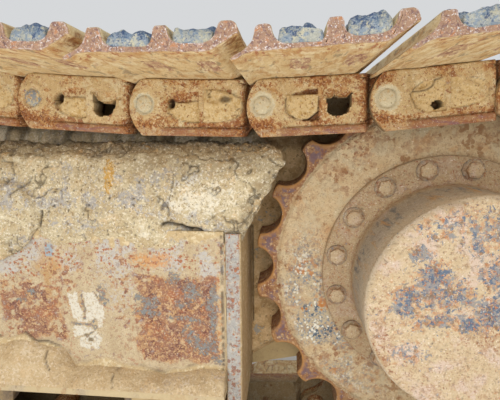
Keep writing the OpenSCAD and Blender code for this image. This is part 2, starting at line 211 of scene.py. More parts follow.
# A closed tube from a grid of rings, each end drawn together to its middle
def tube(rings, masks):
    nu, nv = rings.shape[:2]
    points = np.concatenate([rings.reshape(-1, 3), rings[0].mean(0)[None], rings[-1].mean(0)[None]])
    j = np.arange(nv)
    first = vec(j, (j + 1) % nv, nu * nv)
    last = vec((j + 1) % nv, j, nu * nv + 1) + np.array([1, 1, 0]) * (nu - 1) * nv
    full = {key: m if np.ndim(m) == 0 else np.append(m.ravel(), [m[0].mean(), m[-1].mean()])
            for key, m in masks.items()}
    return points, [gridFaces(nu, nv, wrapV=True), np.concatenate([first, last])], full


# A slab between a front and a back grid, with walls round every cell that isn't kept
# The back has the front's masks too, or else the values given for it
def slab(front, back, masks, behind=None, keep=None):
    nu, nv = front.shape[:2]
    n = nu * nv
    quads = gridFaces(nu, nv)
    if keep is not None:
        quads = quads[keep.ravel()]
    a, b = quads.T.ravel(), np.roll(quads, -1, 1).T.ravel()
    border = ~np.isin(b * n + a, a * n + b)
    a, b = a[border], b[border]
    faces = np.concatenate([quads, quads[:, ::-1] + n, vec(b, a, a + n, b + n)])
    points = np.concatenate([front.reshape(-1, 3), back.reshape(-1, 3)])
    used, faces = np.unique(faces, return_inverse=True)
    full = {}
    for key, m in masks.items():
        m = np.broadcast_to(m, (nu, nv))
        full[key] = np.append(m, m if behind is None else np.full(n, behind.get(key, 0.0)))[used]
    return points[used], [faces.reshape(-1, 4)], full


# A grid closed by walls back to the plane at y, where a fan of triangles fills what doesn't show
def backed(front, y, masks):
    nu, nv = front.shape[:2]
    points = front.reshape(-1, 3)
    i, j = np.arange(nu) * nv, np.arange(nv)
    rim = np.concatenate([i[:-1], i[-1] + j[:-1], i[:0:-1] + nv - 1, j[:0:-1]])
    back = points[rim] * (1, 0, 1) + (0, y, 0)
    a = len(points) + np.arange(len(rim))
    b = np.roll(a, -1)
    quads = np.concatenate([gridFaces(nu, nv), vec(np.roll(rim, -1), rim, a, b)])
    full = {}
    for key, m in masks.items():
        m = np.broadcast_to(m, (nu, nv)).ravel()
        full[key] = np.concatenate([m, m[rim], m[:1]])
    middle = back.mean(0)[None]
    return np.concatenate([points, back, middle]), [quads, vec(b, a, a[-1] + 1)], full


# A profile of (radius, y) turned round an axis along Y at (x, z), as a grid with one ring for each point
def turned(profile, centre, count):
    radius, y = np.asarray(profile, float).T[..., None]
    angle = np.linspace(0, 2 * np.pi, count, endpoint=False)
    return vec(centre[0] + radius * np.cos(angle), y, centre[1] + radius * np.sin(angle))


# A broken line with its corners rounded by arcs of up to the given radius
def rounded(points, radius, steps=5):
    points = np.asarray(points, float)
    out = [points[0]]
    for a, b, c in zip(points[:-2], points[1:-1], points[2:]):
        u, v = (a - b), (c - b)
        lu, lv = np.linalg.norm(u), np.linalg.norm(v)
        cut = min(radius, lu * 0.45, lv * 0.45)
        s, e = b + u / lu * cut, b + v / lv * cut
        t = np.linspace(0, 1, steps + 1)[:, None]
        out.extend((1 - t) ** 2 * s + 2 * t * (1 - t) * b + t * t * e)
    out.append(points[-1])
    return np.array(out)


def lengths(line):
    return np.append(0, np.cumsum(np.linalg.norm(np.diff(line, axis=0), axis=1)))


# The points of a broken line at the given lengths along it
def along(line, at):
    line = np.asarray(line, float)
    return vec(*(np.interp(at, lengths(line), values) for values in line.T))


def evenly(line, count):
    return along(line, np.linspace(0, lengths(line)[-1], count))


def rgb(code):
    c = np.array([int(code[i:i + 2], 16) / 255 for i in (1, 3, 5)])
    c = np.where(c <= 0.04045, c / 12.92, ((c + 0.055) / 1.055) ** 2.4)
    return (*c, 1.0)


# A node's inputs set to values, or linked to other nodes' sockets
def fill(tree, node, inputs):
    for key, value in inputs.items():
        if isinstance(value, bpy.types.NodeSocket):
            tree.links.new(value, node.inputs[key])
        else:
            node.inputs[key].default_value = value
    return node


def add(tree, kind, inputs, **settings):
    node = tree.nodes.new("ShaderNode" + kind)
    for key, value in settings.items():
        setattr(node, key, value)
    return fill(tree, node, inputs)


def calc(tree, operation, a, b):
    return add(tree, "Math", {0: a, 1: b}, operation=operation).outputs[0]


def ramp(tree, value, a, b):
    inputs = {"Value": value, "From Min": a, "From Max": b}
    return add(tree, "MapRange", inputs, interpolation_type="SMOOTHSTEP").outputs["Result"]


def noiseNode(tree, vector, scale, detail=4.0, rough=0.6, warp=0.0):
    inputs = {"Vector": vector, "Scale": scale, "Detail": detail, "Roughness": rough, "Distortion": warp}
    return add(tree, "TexNoise", inputs).outputs["Fac"]


def newGroup(name, inputs, outputs):
    group = bpy.data.node_groups.new(name, "ShaderNodeTree")
    for key in inputs:
        kind = "NodeSocketVector" if key == "Vector" else "NodeSocketFloat"
        group.interface.new_socket(name=key, in_out="INPUT", socket_type=kind)
    for key in outputs:
        group.interface.new_socket(name=key, in_out="OUTPUT", socket_type="NodeSocketFloat")
    return group, group.nodes.new("NodeGroupInput").outputs, group.nodes.new("NodeGroupOutput")


# Round specks of about the given size in mm, one to a cell, thicker in clusters seven cells wide
speckGroup, given, made = newGroup("speckMask", ["Vector", "Size", "Amount"], ["Mask"])
scale = calc(speckGroup, "DIVIDE", 640.0, given["Size"])
push = add(speckGroup, "TexNoise", {"Vector": given["Vector"], "Scale": calc(speckGroup, "MULTIPLY", scale, 1.6),
                                    "Detail": 3.0})
moved = add(speckGroup, "VectorMath", {0: push.outputs["Color"], "Scale": calc(speckGroup, "DIVIDE", 1.1, scale)},
            operation="SCALE")
shifted = add(speckGroup, "VectorMath", {0: moved.outputs[0], 1: given["Vector"]})
spot = add(speckGroup, "TexVoronoi", {"Vector": shifted.outputs[0], "Scale": scale})
lot = add(speckGroup, "SeparateColor", {0: spot.outputs["Color"]})
wide = noiseNode(speckGroup, given["Vector"], calc(speckGroup, "DIVIDE", scale, 7.0), 3, 0.6, 0.3)
share = calc(speckGroup, "MULTIPLY", given["Amount"], 2.0)
share = calc(speckGroup, "MULTIPLY", ramp(speckGroup, wide, 0.3, 0.7), share)
reach = calc(speckGroup, "MULTIPLY", calc(speckGroup, "SUBTRACT", share, lot.outputs[0]), 1.4)
gap = calc(speckGroup, "SUBTRACT", calc(speckGroup, "MINIMUM", reach, 0.6), spot.outputs["Distance"])
fill(speckGroup, made, {"Mask": ramp(speckGroup, gap, -0.04, 0.08)})

# Dried mud and dust: a light and dark grain, and its height
grainGroup, given, made = newGroup("mudGrain", ["Vector", "Size"], ["Tone", "Height"])
scale = calc(grainGroup, "DIVIDE", 1000.0, given["Size"])
fine = noiseNode(grainGroup, given["Vector"], scale, 5, 0.7)
wide = noiseNode(grainGroup, given["Vector"], calc(grainGroup, "DIVIDE", scale, 7.0), 3, 0.55, 0.5)
grit = add(grainGroup, "TexVoronoi", {"Vector": given["Vector"], "Scale": calc(grainGroup, "MULTIPLY", scale, 0.8)})
tone = calc(grainGroup, "ADD", calc(grainGroup, "MULTIPLY", fine, 0.6), calc(grainGroup, "MULTIPLY", wide, 0.4))
lump = calc(grainGroup, "SUBTRACT", fine, calc(grainGroup, "MULTIPLY", grit.outputs["Distance"], 0.35))
fill(grainGroup, made, {"Tone": ramp(grainGroup, tone, 0.33, 0.67), "Height": lump})


# One finish being made: colours are laid over each other, then the shader reads them
class Finish:
    def __init__(self, name, base):
        self.material = bpy.data.materials.new(name)
        self.material.use_nodes = True
        self.tree = self.material.node_tree
        self.place = add(self.tree, "TexCoord", {}).outputs["Object"]
        self.colour = base

    def at(self, scale):  # the place, or that place stretched along x, y and z
        if scale is None:
            return self.place
        return add(self.tree, "Mapping", {"Vector": self.place, "Scale": scale}).outputs[0]

    def specks(self, size, amount):
        inputs = {"Vector": self.place, "Size": size, "Amount": amount}
        return add(self.tree, "Group", inputs, node_tree=speckGroup).outputs["Mask"]

    def cloud(self, size, a, b, scale=None, detail=4.0, warp=0.4):
        return ramp(self.tree, noiseNode(self.tree, self.at(scale), 1000.0 / size, detail, 0.6, warp), a, b)

    def mask(self, key):
        return add(self.tree, "Attribute", {}, attribute_name=key).outputs["Fac"]

    # A soft mask with its edge broken up by noise
    def ragged(self, key, size, spread=0.9, a=0.42, b=0.56, scale=None):
        broken = noiseNode(self.tree, self.at(scale), 1000.0 / size, 6.0, 0.65, 0.5)
        moved = calc(self.tree, "MULTIPLY", calc(self.tree, "SUBTRACT", broken, 0.5), spread * 2)
        return ramp(self.tree, calc(self.tree, "ADD", self.mask(key), moved), a, b)

    def without(self, *terms):
        return calc(self.tree, "SUBTRACT", 1.0, self.product(terms))

    def upward(self, a, b):
        normal = add(self.tree, "NewGeometry", {}).outputs["Normal"]
        dot = add(self.tree, "VectorMath", {0: normal, 1: (0, 0, 1)}, operation="DOT_PRODUCT")
        return ramp(self.tree, dot.outputs["Value"], a, b)

    # A term is a number or socket, a mask's name, or a kind of pattern and its values
    def term(self, term):
        kinds = {"specks": self.specks, "cloud": self.cloud, "ragged": self.ragged, "without": self.without,
                 "upward": self.upward}
        if isinstance(term, tuple):
            return kinds[term[0]](*term[1:])
        return self.mask(term) if isinstance(term, str) else term

    def product(self, terms):
        total = self.term(terms[0])
        for term in terms[1:]:
            total = calc(self.tree, "MULTIPLY", total, self.term(term))
        return total

    def over(self, colour, *terms):
        inputs = {0: self.product(terms), 6: self.colour, 7: colour}
        inputs = {key: rgb(value) if isinstance(value, str) else value for key, value in inputs.items()}
        self.colour = add(self.tree, "Mix", inputs, data_type="RGBA").outputs[2]


# Dust of a base, light and dark colour with grain of the given size and depth in mm, under layers (colour,
# terms), each as strong as the product of its terms; rough is the range of roughness, and lumps are more
# bumps (term, depth)
def painted(name, base, light, dark, grain, depth, rough, layers, lumps=()):
    f = Finish(name, base)
    dust = add(f.tree, "Group", {"Vector": f.place, "Size": grain}, node_tree=grainGroup)
    f.over(light, dust.outputs["Tone"], 0.55)
    f.over(dark, ("without", dust.outputs["Tone"]), 0.4)
    for colour, *terms in layers:
        f.over(colour, *terms)
    normal = {}
    for height, deep in [(dust.outputs["Height"], depth), *lumps]:
        inputs = {"Strength": 1.0, "Distance": deep / 1000, "Height": f.term(height), **normal}
        normal = {"Normal": add(f.tree, "Bump", inputs).outputs["Normal"]}
    spread = add(f.tree, "MapRange", {"Value": f.cloud(9, 0.35, 0.65), "To Min": rough[1], "To Max": rough[0]})
    fill(f.tree, f.tree.nodes["Principled BSDF"], {"Base Color": f.colour, "Specular IOR Level": 0.25,
                                                   "Roughness": spread.outputs["Result"], **normal})
    return f.material


print("finishes")
mudMaterial = painted("driedMud", "#CCBA94", "#E2D5B6", "#9E8A68", 3.4, 2.0, (0.85, 1.0), [
    ("#BBA47C", 0.8, ("cloud", 22, 0.48, 0.62)),
    ("#D8B98C", 0.5, ("cloud", 30, 0.54, 0.66)),
    ("#A9A4A0", 0.85, ("ragged", "grey", 6, 2.2, 0.45, 1.05)),
    ("#8B8886", 0.6, "grey", ("cloud", 4, 0.53, 0.61)),
    ("#EDE4CE", 0.65, ("ragged", "pale", 6, 1.8, 0.5, 1.0)),
    ("#C9983F", 0.85, ("ragged", "stain", 5, 1.8, 0.4, 0.75)),
    # Gravel is a darker brown; on the cake's top band under the chain this is partly painted shade
    ("#75644A", 0.8, "gravel"),
    ("#8D826F", "gravel", ("specks", 7.0, 0.5)),
    ("#C9A877", "gravel", ("specks", 9.0, 0.28)),
    ("#8C7A5E", 0.6, ("cloud", 4.5, 0.54, 0.64)),
    ("#EFE6D0", 0.65, ("cloud", 3.4, 0.56, 0.64)),
    ("#5C4B36", 0.65, ("cloud", 5, 0.6, 0.67)),
    ("#6A6460", 0.5, ("specks", 4.2, 0.2)),
    ("#CBAA7E", 0.5, "warm"),
    # Painted shade in cracks, pits and the gaps between stones
    ("#2E2418", "dark"),
])
plateMaterial = painted("rustedPlate", "#BBA684", "#CFBF9E", "#9A815C", 2.8, 0.5, (0.6, 0.95), [
    ("#BAB5AC", 0.85, ("ragged", "grey", 5, 1.9, 0.4, 1.0)),
    ("#A6A4A4", 0.5, "grey", ("cloud", 4, 0.52, 0.62)),
    ("#B48A54", 0.7, "ochre"),
    ("#C68E54", 0.85, ("ragged", "orange", 5, 2.0, 0.45, 1.0)),
    ("#B68C60", 0.8, ("ragged", "rust", 12, 1.2, 0.2, 0.7)),
    ("#8C604C", 0.85, ("ragged", "rust", 9, 2.6, 0.5, 0.95)),
    ("#6C443C", ("ragged", "rust", 6, 3.0, 0.85, 1.15), ("cloud", 34, 0.42, 0.58)),
    ("#7E5848", 0.7, "rust", ("cloud", 4, 0.52, 0.6)),
    ("#AA663E", 0.55, ("ragged", "rust", 7, 2.4, 0.7, 1.0), ("cloud", 24, 0.52, 0.6)),
    ("#CBAC82", 0.8, "rust", ("cloud", 11, 0.56, 0.64, None, 8.0, 0.5)),
    ("#C8A57A", 0.75, "rust", ("cloud", 3.4, 0.55, 0.62)),
    ("#5E4E46", 0.6, ("ragged", "bare", 5, 1.7, 0.62, 0.9)),
    ("#7C8383", 0.9, ("ragged", "bare", 5, 1.9, 0.88, 1.06)),
    ("#8E7A68", ("ragged", "bare", 6, 1.6, 0.8, 0.95), ("cloud", 4, 0.5, 0.58)),
    ("#D2CAB8", ("ragged", "white", 4, 1.5, 0.4, 0.75), ("without", ("cloud", 5, 0.54, 0.6), 0.65)),
    ("#98A3A8", "chip"),
    ("#A19E98", 0.75, ("ragged", "strip", 9, 2.2, 0.4, 0.9)),
    ("#84543F", 0.75, ("specks", 5.0, 0.26), "spots"),
    ("#8F6450", 0.7, "spots", ("cloud", 6, 0.55, 0.63, None, 6.0)),
    ("#A46A4A", ("specks", 3.0, 0.34), "spots"),
    ("#7A6050", 0.55, ("cloud", 2.4, 0.58, 0.66)),
    ("#BFA67C", "mud"),
    ("#D3C09A", "mud", ("cloud", 9, 0.5, 0.62)),
    ("#98835F", 0.7, "mud", ("cloud", 5, 0.55, 0.64)),
    ("#E8DEC6", 0.5, ("cloud", 2.2, 0.6, 0.67)),
    # Painted shade along the mud's edge, with the dark seam and holes
    ("#33261C", "dark"),
])
linkMaterial = painted("rustyLink", "#CBAE7C", "#DEC99E", "#A88756", 3.0, 1.0, (0.65, 0.95), [
    ("#D6C49C", 0.8, ("cloud", 15, 0.5, 0.64)),
    ("#9E7050", "band", ("cloud", 7, 0.2, 0.55, (0.35, 1, 1))),
    ("#86605F", 0.85, "band", ("cloud", 8, 0.52, 0.64, (0.25, 1, 1.6))),
    ("#B98A54", 0.8, ("ragged", "rust", 10, 1.4, 0.3, 0.7)),
    ("#94592E", 0.9, ("ragged", "rust", 5, 2.3, 0.5, 0.85)),
    ("#6E3E24", 0.85, ("ragged", "rust", 3.6, 2.8, 0.88, 1.15)),
    ("#8A5230", 0.8, ("cloud", 30, 0.48, 0.58), ("specks", 8.0, 0.45)),
    ("#A0683C", 0.7, ("cloud", 3.0, 0.57, 0.64)),
    ("#CFC4A4", 0.85, ("ragged", "ring", 5, 1.6, 0.4, 0.75)),
    ("#87939A", 0.85, ("ragged", "blue", 5, 1.4, 0.4, 0.75)),
    ("#D2B786", 0.95, ("ragged", "plug", 5, 1.0, 0.35, 0.6)),
    ("#BE9C62", "plug", ("cloud", 6, 0.5, 0.6)),
    ("#8E6034", "plug", ("cloud", 5, 0.6, 0.66)),
    ("#EEE4C8", 0.6, ("cloud", 2.4, 0.6, 0.66)),
    ("#5F4A34", 0.6, ("cloud", 2.8, 0.61, 0.67)),
    # Painted shade, where the dark mask says
    ("#362312", "dark"),
])
streak = (1, 0.3, 1)  # long marks along y
shoeMaterial = painted("dustyShoe", "#DABE8A", "#EBDAB0", "#B99868", 3.4, 0.8, (0.6, 0.9), [
    ("#E8D9B2", 0.75, ("cloud", 14, 0.48, 0.64, streak)),
    ("#B98A54", 0.7, ("cloud", 9, 0.5, 0.64, streak)),
    ("#BC8C56", 0.7, "streak", ("cloud", 10, 0.44, 0.6, (0.4, 1, 1))),
    ("#8C7C64", 0.7, ("cloud", 12, 0.56, 0.66, streak)),
    ("#A8683E", "streak", ("cloud", 6, 0.55, 0.64, streak)),
    ("#B38B72", 0.85, ("ragged", "pad", 6, 2.2, 0.4, 0.95, streak)),
    ("#8F5E4C", 0.8, "pad", ("cloud", 6, 0.52, 0.62, streak)),
    ("#DCC69A", "pad", ("cloud", 5, 0.54, 0.62, streak)),
    ("#A28068", "end"),
    ("#B39A8A", "end", ("cloud", 7, 0.5, 0.62)),
    ("#856860", "end", ("cloud", 5, 0.5, 0.62)),
    ("#B47A4E", 0.8, "end", ("cloud", 7, 0.54, 0.64)),
    ("#6E4A48", 0.85, "end", ("cloud", 3, 0.59, 0.66)),
    # A painted highlight along the rims of the shoes' ends
    ("#CFBDB4", 0.8, ("ragged", "rim", 4, 1.8, 0.5, 1.05), ("cloud", 9, 0.46, 0.6)),
    ("#DDD4D0", 0.85, "end", ("cloud", 2.2, 0.6, 0.66, None, 3.0)),
    ("#8F5630", 0.8, "tail", ("cloud", 10, 0.42, 0.62)),
    ("#F1E8CC", 0.5, ("cloud", 2.4, 0.6, 0.67)),
    ("#7E6244", 0.5, ("cloud", 2.8, 0.6, 0.67)),
])
clayMaterial = painted("blueClay", "#AFAFA4", "#CECAB4", "#858B8E", 3.6, 2.0, (0.7, 0.95), [
    ("#CFC5A4", 0.7, ("cloud", 11, 0.48, 0.6)),
    ("#8594A4", 0.8, ("cloud", 7, 0.46, 0.57)),
    ("#64798F", 0.8, ("ragged", "wet", 6, 2.0, 0.3, 0.75)),
    ("#42567A", 0.85, ("ragged", "wet", 4, 2.8, 0.6, 1.0)),
    ("#4A5C78", 0.7, ("cloud", 5, 0.57, 0.64)),
    ("#D4D8DA", 0.7, ("cloud", 3, 0.56, 0.63)),
    ("#2F3A52", 0.75, ("cloud", 3, 0.6, 0.67)),
    # Painted shade at the lumps' ends
    ("#3A372F", "dark"),
])
wheelMaterial = painted("rustySprocket", "#CDB48C", "#DECCA6", "#AE9068", 3.0, 0.7, (0.55, 0.9), [
    ("#C4996A", 0.7, ("cloud", 40, 0.5, 0.66)),
    ("#A97B55", 0.7, "rust", ("cloud", 7, 0.52, 0.6)),
    ("#936740", 0.8, ("cloud", 42, 0.42, 0.52), ("specks", 10.0, 0.45)),
    ("#997048", 0.8, ("cloud", 26, 0.48, 0.58), ("specks", 5.5, 0.5)),
    ("#8E5C3E", 0.9, "rust", ("specks", 6.0, 0.5)),
    ("#7A4A30", "rust", ("cloud", 4, 0.57, 0.63)),
    ("#C9BA98", 0.6, ("cloud", 24, 0.5, 0.64)),
    ("#8A6A4C", 0.6, ("cloud", 3.0, 0.57, 0.64)),
    ("#B4A78E", 0.6, "blue"),
    ("#7E868C", "blue", ("cloud", 5, 0.5, 0.58)),
    ("#B9773A", "blue", ("specks", 5.0, 0.55)),
    ("#56616C", "blue", ("specks", 3.6, 0.42)),
    ("#E0DCCC", "blue", ("specks", 3.0, 0.4)),
    ("#9C724C", 0.9, ("ragged", "tooth", 8, 1.0, 0.3, 0.7)),
    ("#86583F", "tooth", ("cloud", 10, 0.45, 0.6)),
    ("#C19C70", "tooth", ("cloud", 6, 0.55, 0.64)),
    ("#7A4C38", "tooth", ("cloud", 4.5, 0.56, 0.64)),
    ("#756274", 0.6, "tooth", ("cloud", 12, 0.56, 0.64)),
    ("#705E68", 0.75, ("ragged", "mid", 8, 2.2, 0.6, 1.0)),
    ("#C4A27A", "tooth", ("specks", 3.4, 0.3)),
    ("#BC8A54", "edge"),
    # Painted shade along the foot of the teeth
    ("#6B543C", "dark"),
    ("#EFE4C8", 0.5, ("specks", 2.3, 0.2)),
])
hubMaterial = painted("muddyHub", "#C8B08C", "#DAC8A8", "#A98F6C", 3.2, 1.0, (0.7, 0.95), [
    ("#CDB6A4", 0.85, ("cloud", 36, 0.48, 0.64)),
    ("#BFA480", 0.55, ("cloud", 11, 0.52, 0.64)),
    ("#AA8462", 0.65, ("cloud", 5, 0.56, 0.65)),
    ("#A48C6A", 0.6, "flange"),
    ("#A0988A", 0.7, "wall"),
    ("#7C7A76", "wall", ("cloud", 13, 0.52, 0.66, (1, 0.3, 1))),
    ("#B89468", "wall", ("cloud", 18, 0.54, 0.68, (1, 0.2, 1.3))),
    # A painted highlight on the wall, paler toward the front rim
    ("#CABBA2", 0.7, "lip"),
    ("#A1744C", 0.65, ("ragged", "rust", 9, 1.3, 0.4, 0.8)),
    ("#8C5236", 0.8, ("ragged", "rust", 4, 2.4, 0.8, 1.05)),
    ("#BC875C", 0.65, ("ragged", "blue", 10, 1.8, 0.35, 0.75)),
    ("#87898A", 0.85, ("ragged", "blue", 9, 2.1, 0.58, 0.74)),
    ("#84684E", 0.8, ("ragged", "blue", 8, 1.9, 0.5, 0.75), ("cloud", 20, 0.5, 0.57)),
    ("#5A6A7E", 0.9, ("ragged", "blue", 6, 2.5, 0.8, 0.96)),
    ("#3D4D68", 0.9, ("ragged", "blue", 5, 2.9, 1.1, 1.3)),
    ("#BE7F52", 0.85, ("ragged", "blue", 8, 1.5, 0.35, 0.6), ("cloud", 5, 0.56, 0.63)),
    ("#DCC8A2", 0.9, "blue", ("cloud", 2.6, 0.56, 0.64)),
    ("#F2EADA", 0.55, ("cloud", 2.4, 0.6, 0.67)),
    ("#6C5842", 0.6, ("cloud", 2.6, 0.58, 0.65)),
    ("#99583C", 0.7, ("specks", 3.0, 0.12)),
    # Dark dots on the cover, and painted shade on the washers round the bolts
    ("#4A3826", "dark"),
])
# A lighter copy of the dried mud, painted light against the sprocket's shade, with painted shade at its top
shadeMaterial = painted("shadedMud", "#DEBB88", "#EED3A6", "#B08E60", 3.6, 1.8, (0.85, 1.0), [
    ("#B48E5C", 0.7, ("cloud", 20, 0.46, 0.6)),
    ("#E6CFA2", 0.6, ("cloud", 5, 0.56, 0.66)),
    ("#7E6240", 0.7, ("cloud", 6, 0.58, 0.66)),
    ("#A3A39C", 0.8, ("ragged", "grey", 9, 1.2)),
    # Painted shade under the chain and near the teeth
    ("#5E4830", 0.75, ("ragged", "top", 14, 0.7, 0.1, 1.0)),
    ("#2E2418", "dark"),
])


# A CAD solid's finish: paint or steel with rust, and mud where it faces up
def solidFinish(name, base, light, dark, rust, soil, rustShare, soilShare):
    edge = 0.5 - 0.3 * soilShare
    return painted(name, base, light, dark, 3.5, 0.5, (0.6, 0.92), [
        (rust, 0.9, ("specks", 7.0, rustShare)),
        ("#5A3421", 0.7, ("specks", 3.4, 0.7 * rustShare)),
        (soil, 0.8, ("cloud", 60, edge, edge + 0.2)),
        (soil, ("upward", 0.2, 0.9), ("cloud", 30, 0.3, 0.5)),
    ], [(("cloud", 22, 0.2, 0.8), 1.2)])


solidFinishes = {
    "frame_paint": solidFinish("framePaint", "#B3A083", "#C9B99C", "#8C7A60", "#8A4A2E", "#C6B188", 0.4, 0.5),
    "end_plate": solidFinish("endPlatePaint", "#B9BFC4", "#D9DCDD", "#98A0A8", "#8A3A2A", "#B79A6C", 0.25, 0.2),
    "bracket": solidFinish("bracketPaint", "#B59B6E", "#C9B285", "#8E7750", "#8A5A34", "#BFA678", 0.2, 0.6),
    "drive_paint": solidFinish("drivePaint", "#9C8E74", "#B8A98A", "#71664F", "#84492C", "#BFA97E", 0.3, 0.5),
    "sprocket_steel": solidFinish("sprocketSteel", "#B08A5E", "#C9AB80", "#8A6340", "#8A4A28", "#C4A97C", 0.4, 0.4),
    "roller_steel": solidFinish("rollerSteel", "#7E6E5C", "#9A8A74", "#55493C", "#7A4426", "#B49C72", 0.4, 0.35),
    "shaft_steel": solidFinish("shaftSteel", "#8E8A84", "#B2AEA8", "#66625C", "#7A4A30", "#A8946E", 0.3, 0.15),
    "yoke_steel": solidFinish("yokeSteel", "#97805E", "#B39C78", "#6E5A40", "#84482A", "#BCA478", 0.4, 0.45),
    "leg_paint": solidFinish("legPaint", "#C2963F", "#D4B368", "#9C7630", "#84492C", "#BFA878", 0.3, 0.45),
    "shoe_steel": shoeMaterial, "link_steel": linkMaterial, "mud": mudMaterial,
}
slots = {part["node"]: part["material_slot"] for part in frame["record"]["subparts"]}
for node, solid in frame["nodes"].items():
    for place in solid.material_slots:
        place.material = solidFinishes[slots[node]]

# The chain's pins (x, z), read from the CAD's bushings; the first is near firstPin, the rest go on towards -X
firstPin = (-123, 298)
mesh = frame["nodes"]["bushings"].data
corners = np.empty(len(mesh.vertices) * 3, np.float32)
mesh.vertices.foreach_get("co", corners)
spots = np.unique(np.round(corners.reshape(-1, 3)[:, [0, 2]] * 1000 - axle[[0, 2]], 1), axis=0)
pins = []
while len(spots):
    near = np.hypot(*(spots - spots[0]).T) < 60
    pins.append(spots[near].mean(0))
    spots = spots[~near]
pins = np.array(pins)
middle = pins.mean(0)
pins = pins[np.argsort(np.arctan2(pins[:, 1] - middle[1], pins[:, 0] - middle[0]))]
pins = np.roll(pins, -np.argmin(np.hypot(*(pins - firstPin).T)), axis=0)
linkCount = len(pins)
print("pins", linkCount)


# Local x along the link from its far pin, y across and z away from the loop, to the frame
def onLink(i, x, y, z):
    start, end = pins[(i + 1) % linkCount], pins[i % linkCount]
    t = (end - start) / np.hypot(*(end - start))
    return vec(start[0] + x * t[0] - z * t[1], y, start[1] + x * t[1] + z * t[0])


linkShape = {
    "out": 98.0, "in": 66.0, "boss": 8.0,      # faces from the centre plane, and the boss's rise
    "low": -50.0, "high": 39.6,                # rail and seat heights from the pins
    "arcX": 33.0, "arcZ": -6.0, "arcR": 58.0,  # the round left end
    "endX": 190.0, "endR": 33.0,               # the hidden right end round the next bushing
    "step": 2.0, "farStep": 9.0,
}


# x runs from the left arc to the right one, z from rail to seat; both are bent round at the corners
def linkGrid(step):
    s = linkShape
    u, v = np.meshgrid(np.linspace(0, 1, int(215 / step)), np.linspace(0, 1, int(90 / step) + 1), indexing="ij")
    z = s["low"] + v * (s["high"] - s["low"])
    left = s["arcX"] - np.sqrt(np.maximum(s["arcR"] ** 2 - (z - s["arcZ"]) ** 2, 0))
    right = s["endX"] + np.sqrt(np.maximum(s["endR"] ** 2 - np.clip(z, -s["endR"], s["endR"]) ** 2, 0)) \
        - 26 * ease(np.abs(z), 20, 50)
    x = left + u * (right - left)
    return x, z + 8 * (1 - v) * ease(x, 150, 185) ** 2 + 2.5 * (1 - v) ** 4 * (1 - ease(x, -16, -4))


# What fills the window whose middle is at x = sx, w above 0 inside it: the face's rise, how much is mud, how
# flaky it is, its painted shade (darker in pits, at rims, along folds and under flaps), and where the hole is.
# Open and wide are holes with a ragged lip, half and block are mud under loose flakes, torn is mud with a hole at
# its foot, plug is filled, sheet has a crumpled flap, dimple is a recess
def windowFill(state, w, sx, x, z, flat, lumps, seed):
    inside = ease(w, -0.04, 0.1)
    rim = bell(w - 0.02, 0.05)
    rise, soil, flaky, dark, hole = 0, 0, 0, 0, np.zeros(x.shape, bool)
    if state in ("open", "wide"):
        lip = 13 - 13 * ease(x, 101, 112) + 6 * ease(x, 128, 140) if state == "open" else 9 + 5 * ease(x, 128, 138)
        top = lip + 4 * fractal(flat, 9, 3, seed + 20)
        bowl = -25 + 17 * np.abs((x - 117) / 22) ** 3 + 2 * fractal(flat, 7, 2, seed + 28)
        hole = (w > 0.02) & (z < top) & (z > bowl) & (x > 99) & (x < 141)
        flaky = inside * (z >= top)
        rise = -flaky * (3 - 3 * lumps)
        soil = 0.25 * flaky
    elif state == "half":
        top = 5 + 3 * fractal(flat, 14, 3, seed + 21)
        soil = inside * ease(top - z, 0, 2)
        flaky = inside * (1 - soil)
        pit = blot(x, z, sx - 21, 2, 5.5, 8, 0.3) * inside
        heap = 3.5 - 4.5 * ((x - sx) / 26) ** 2 + 1.5 * fractal(flat, 6, 2, seed + 22)
        rise = soil * heap - inside * (4.5 - 3 * lumps) - 8 * pit
        dark = greatest(pit, 0.7 * rim * (z < 0), 0.5 * bell(z - top, 1.4) * inside)
    elif state == "block":
        dx, dz = (x - sx) / 25, (z + 6) / 19
        five = greatest(np.abs(dx), np.abs(dz), (np.abs(dx) - dz) * 0.72)  # a block with two corners cut off
        soil = ease(1.0 - five + 0.08 * fractal(flat, 10, 2, seed + 23), 0, 0.07)
        flaky = inside * (1 - soil)
        rise = soil * (5 - 1.5 * lumps) - inside * (5 - 3 * lumps)
        dark = 0.75 * bell(five - 1.02, 0.05) * (z < 8) + 0.5 * flaky
    elif state == "torn":
        torn = ((x - 77) / 12.5) ** 2 + ((z + 17) / 8) ** 2 + 0.4 * fractal(flat, 8, 2, seed + 24)
        hole = (torn < 1) & (w > 0)
        fold = lineGap(x, z, [(38, 6), (50, 5), (62, 7), (70, 12), (72, 20), (82, 21)])
        soil = 0.8 * inside
        flaky = inside * blot(x, z, 52, 15, 16, 8)
        rise = 2.2 * bell(fold - 2.5, 2.2) * (z > 4) - inside * (3.5 - 3.5 * lumps)
        dark = greatest(0.85 * bell(fold, 1.3), 0.6 * rim * (x < 55))
    elif state == "plug":
        soil = 0.85 * inside * (1 - 0.6 * ease(lumps, 0.1, 0.4))
        rise = -inside * (3.2 - 2 * blot(x, z, sx, -6, 24, 20, 0.6) - 2.5 * lumps)
        dark = 0.6 * bell(w - 0.02, 0.04) * ease(fractal(flat, 20, 2, seed + 25), -0.3, 0.2)
    elif state == "sheet":
        skin = ease(w, -0.5 + 0.25 * fractal(flat, 16, 2, seed + 26), -0.25) * ease(z, 38, 34)
        crease = np.abs(fractal(flat, 17, 3, seed + 27))
        soil = 0.9 * skin
        flaky = blot(x, z, 131, 10, 13, 8)
        rise = skin * (2 + 4 * lumps + 5 * crease)
        dark = greatest(0.6 * bell(w + 0.38, 0.05) * (z < 30), 0.8 * skin * ease(0.05 - crease, 0, 0.05),
                        0.8 * blot(x, z, 131, 8, 9, 5, 0.5))
    elif state == "dimple":
        rise = -inside * (10 - 3 * lumps)
        dark = 0.6 * inside
    return rise, soil, flaky, dark, hole


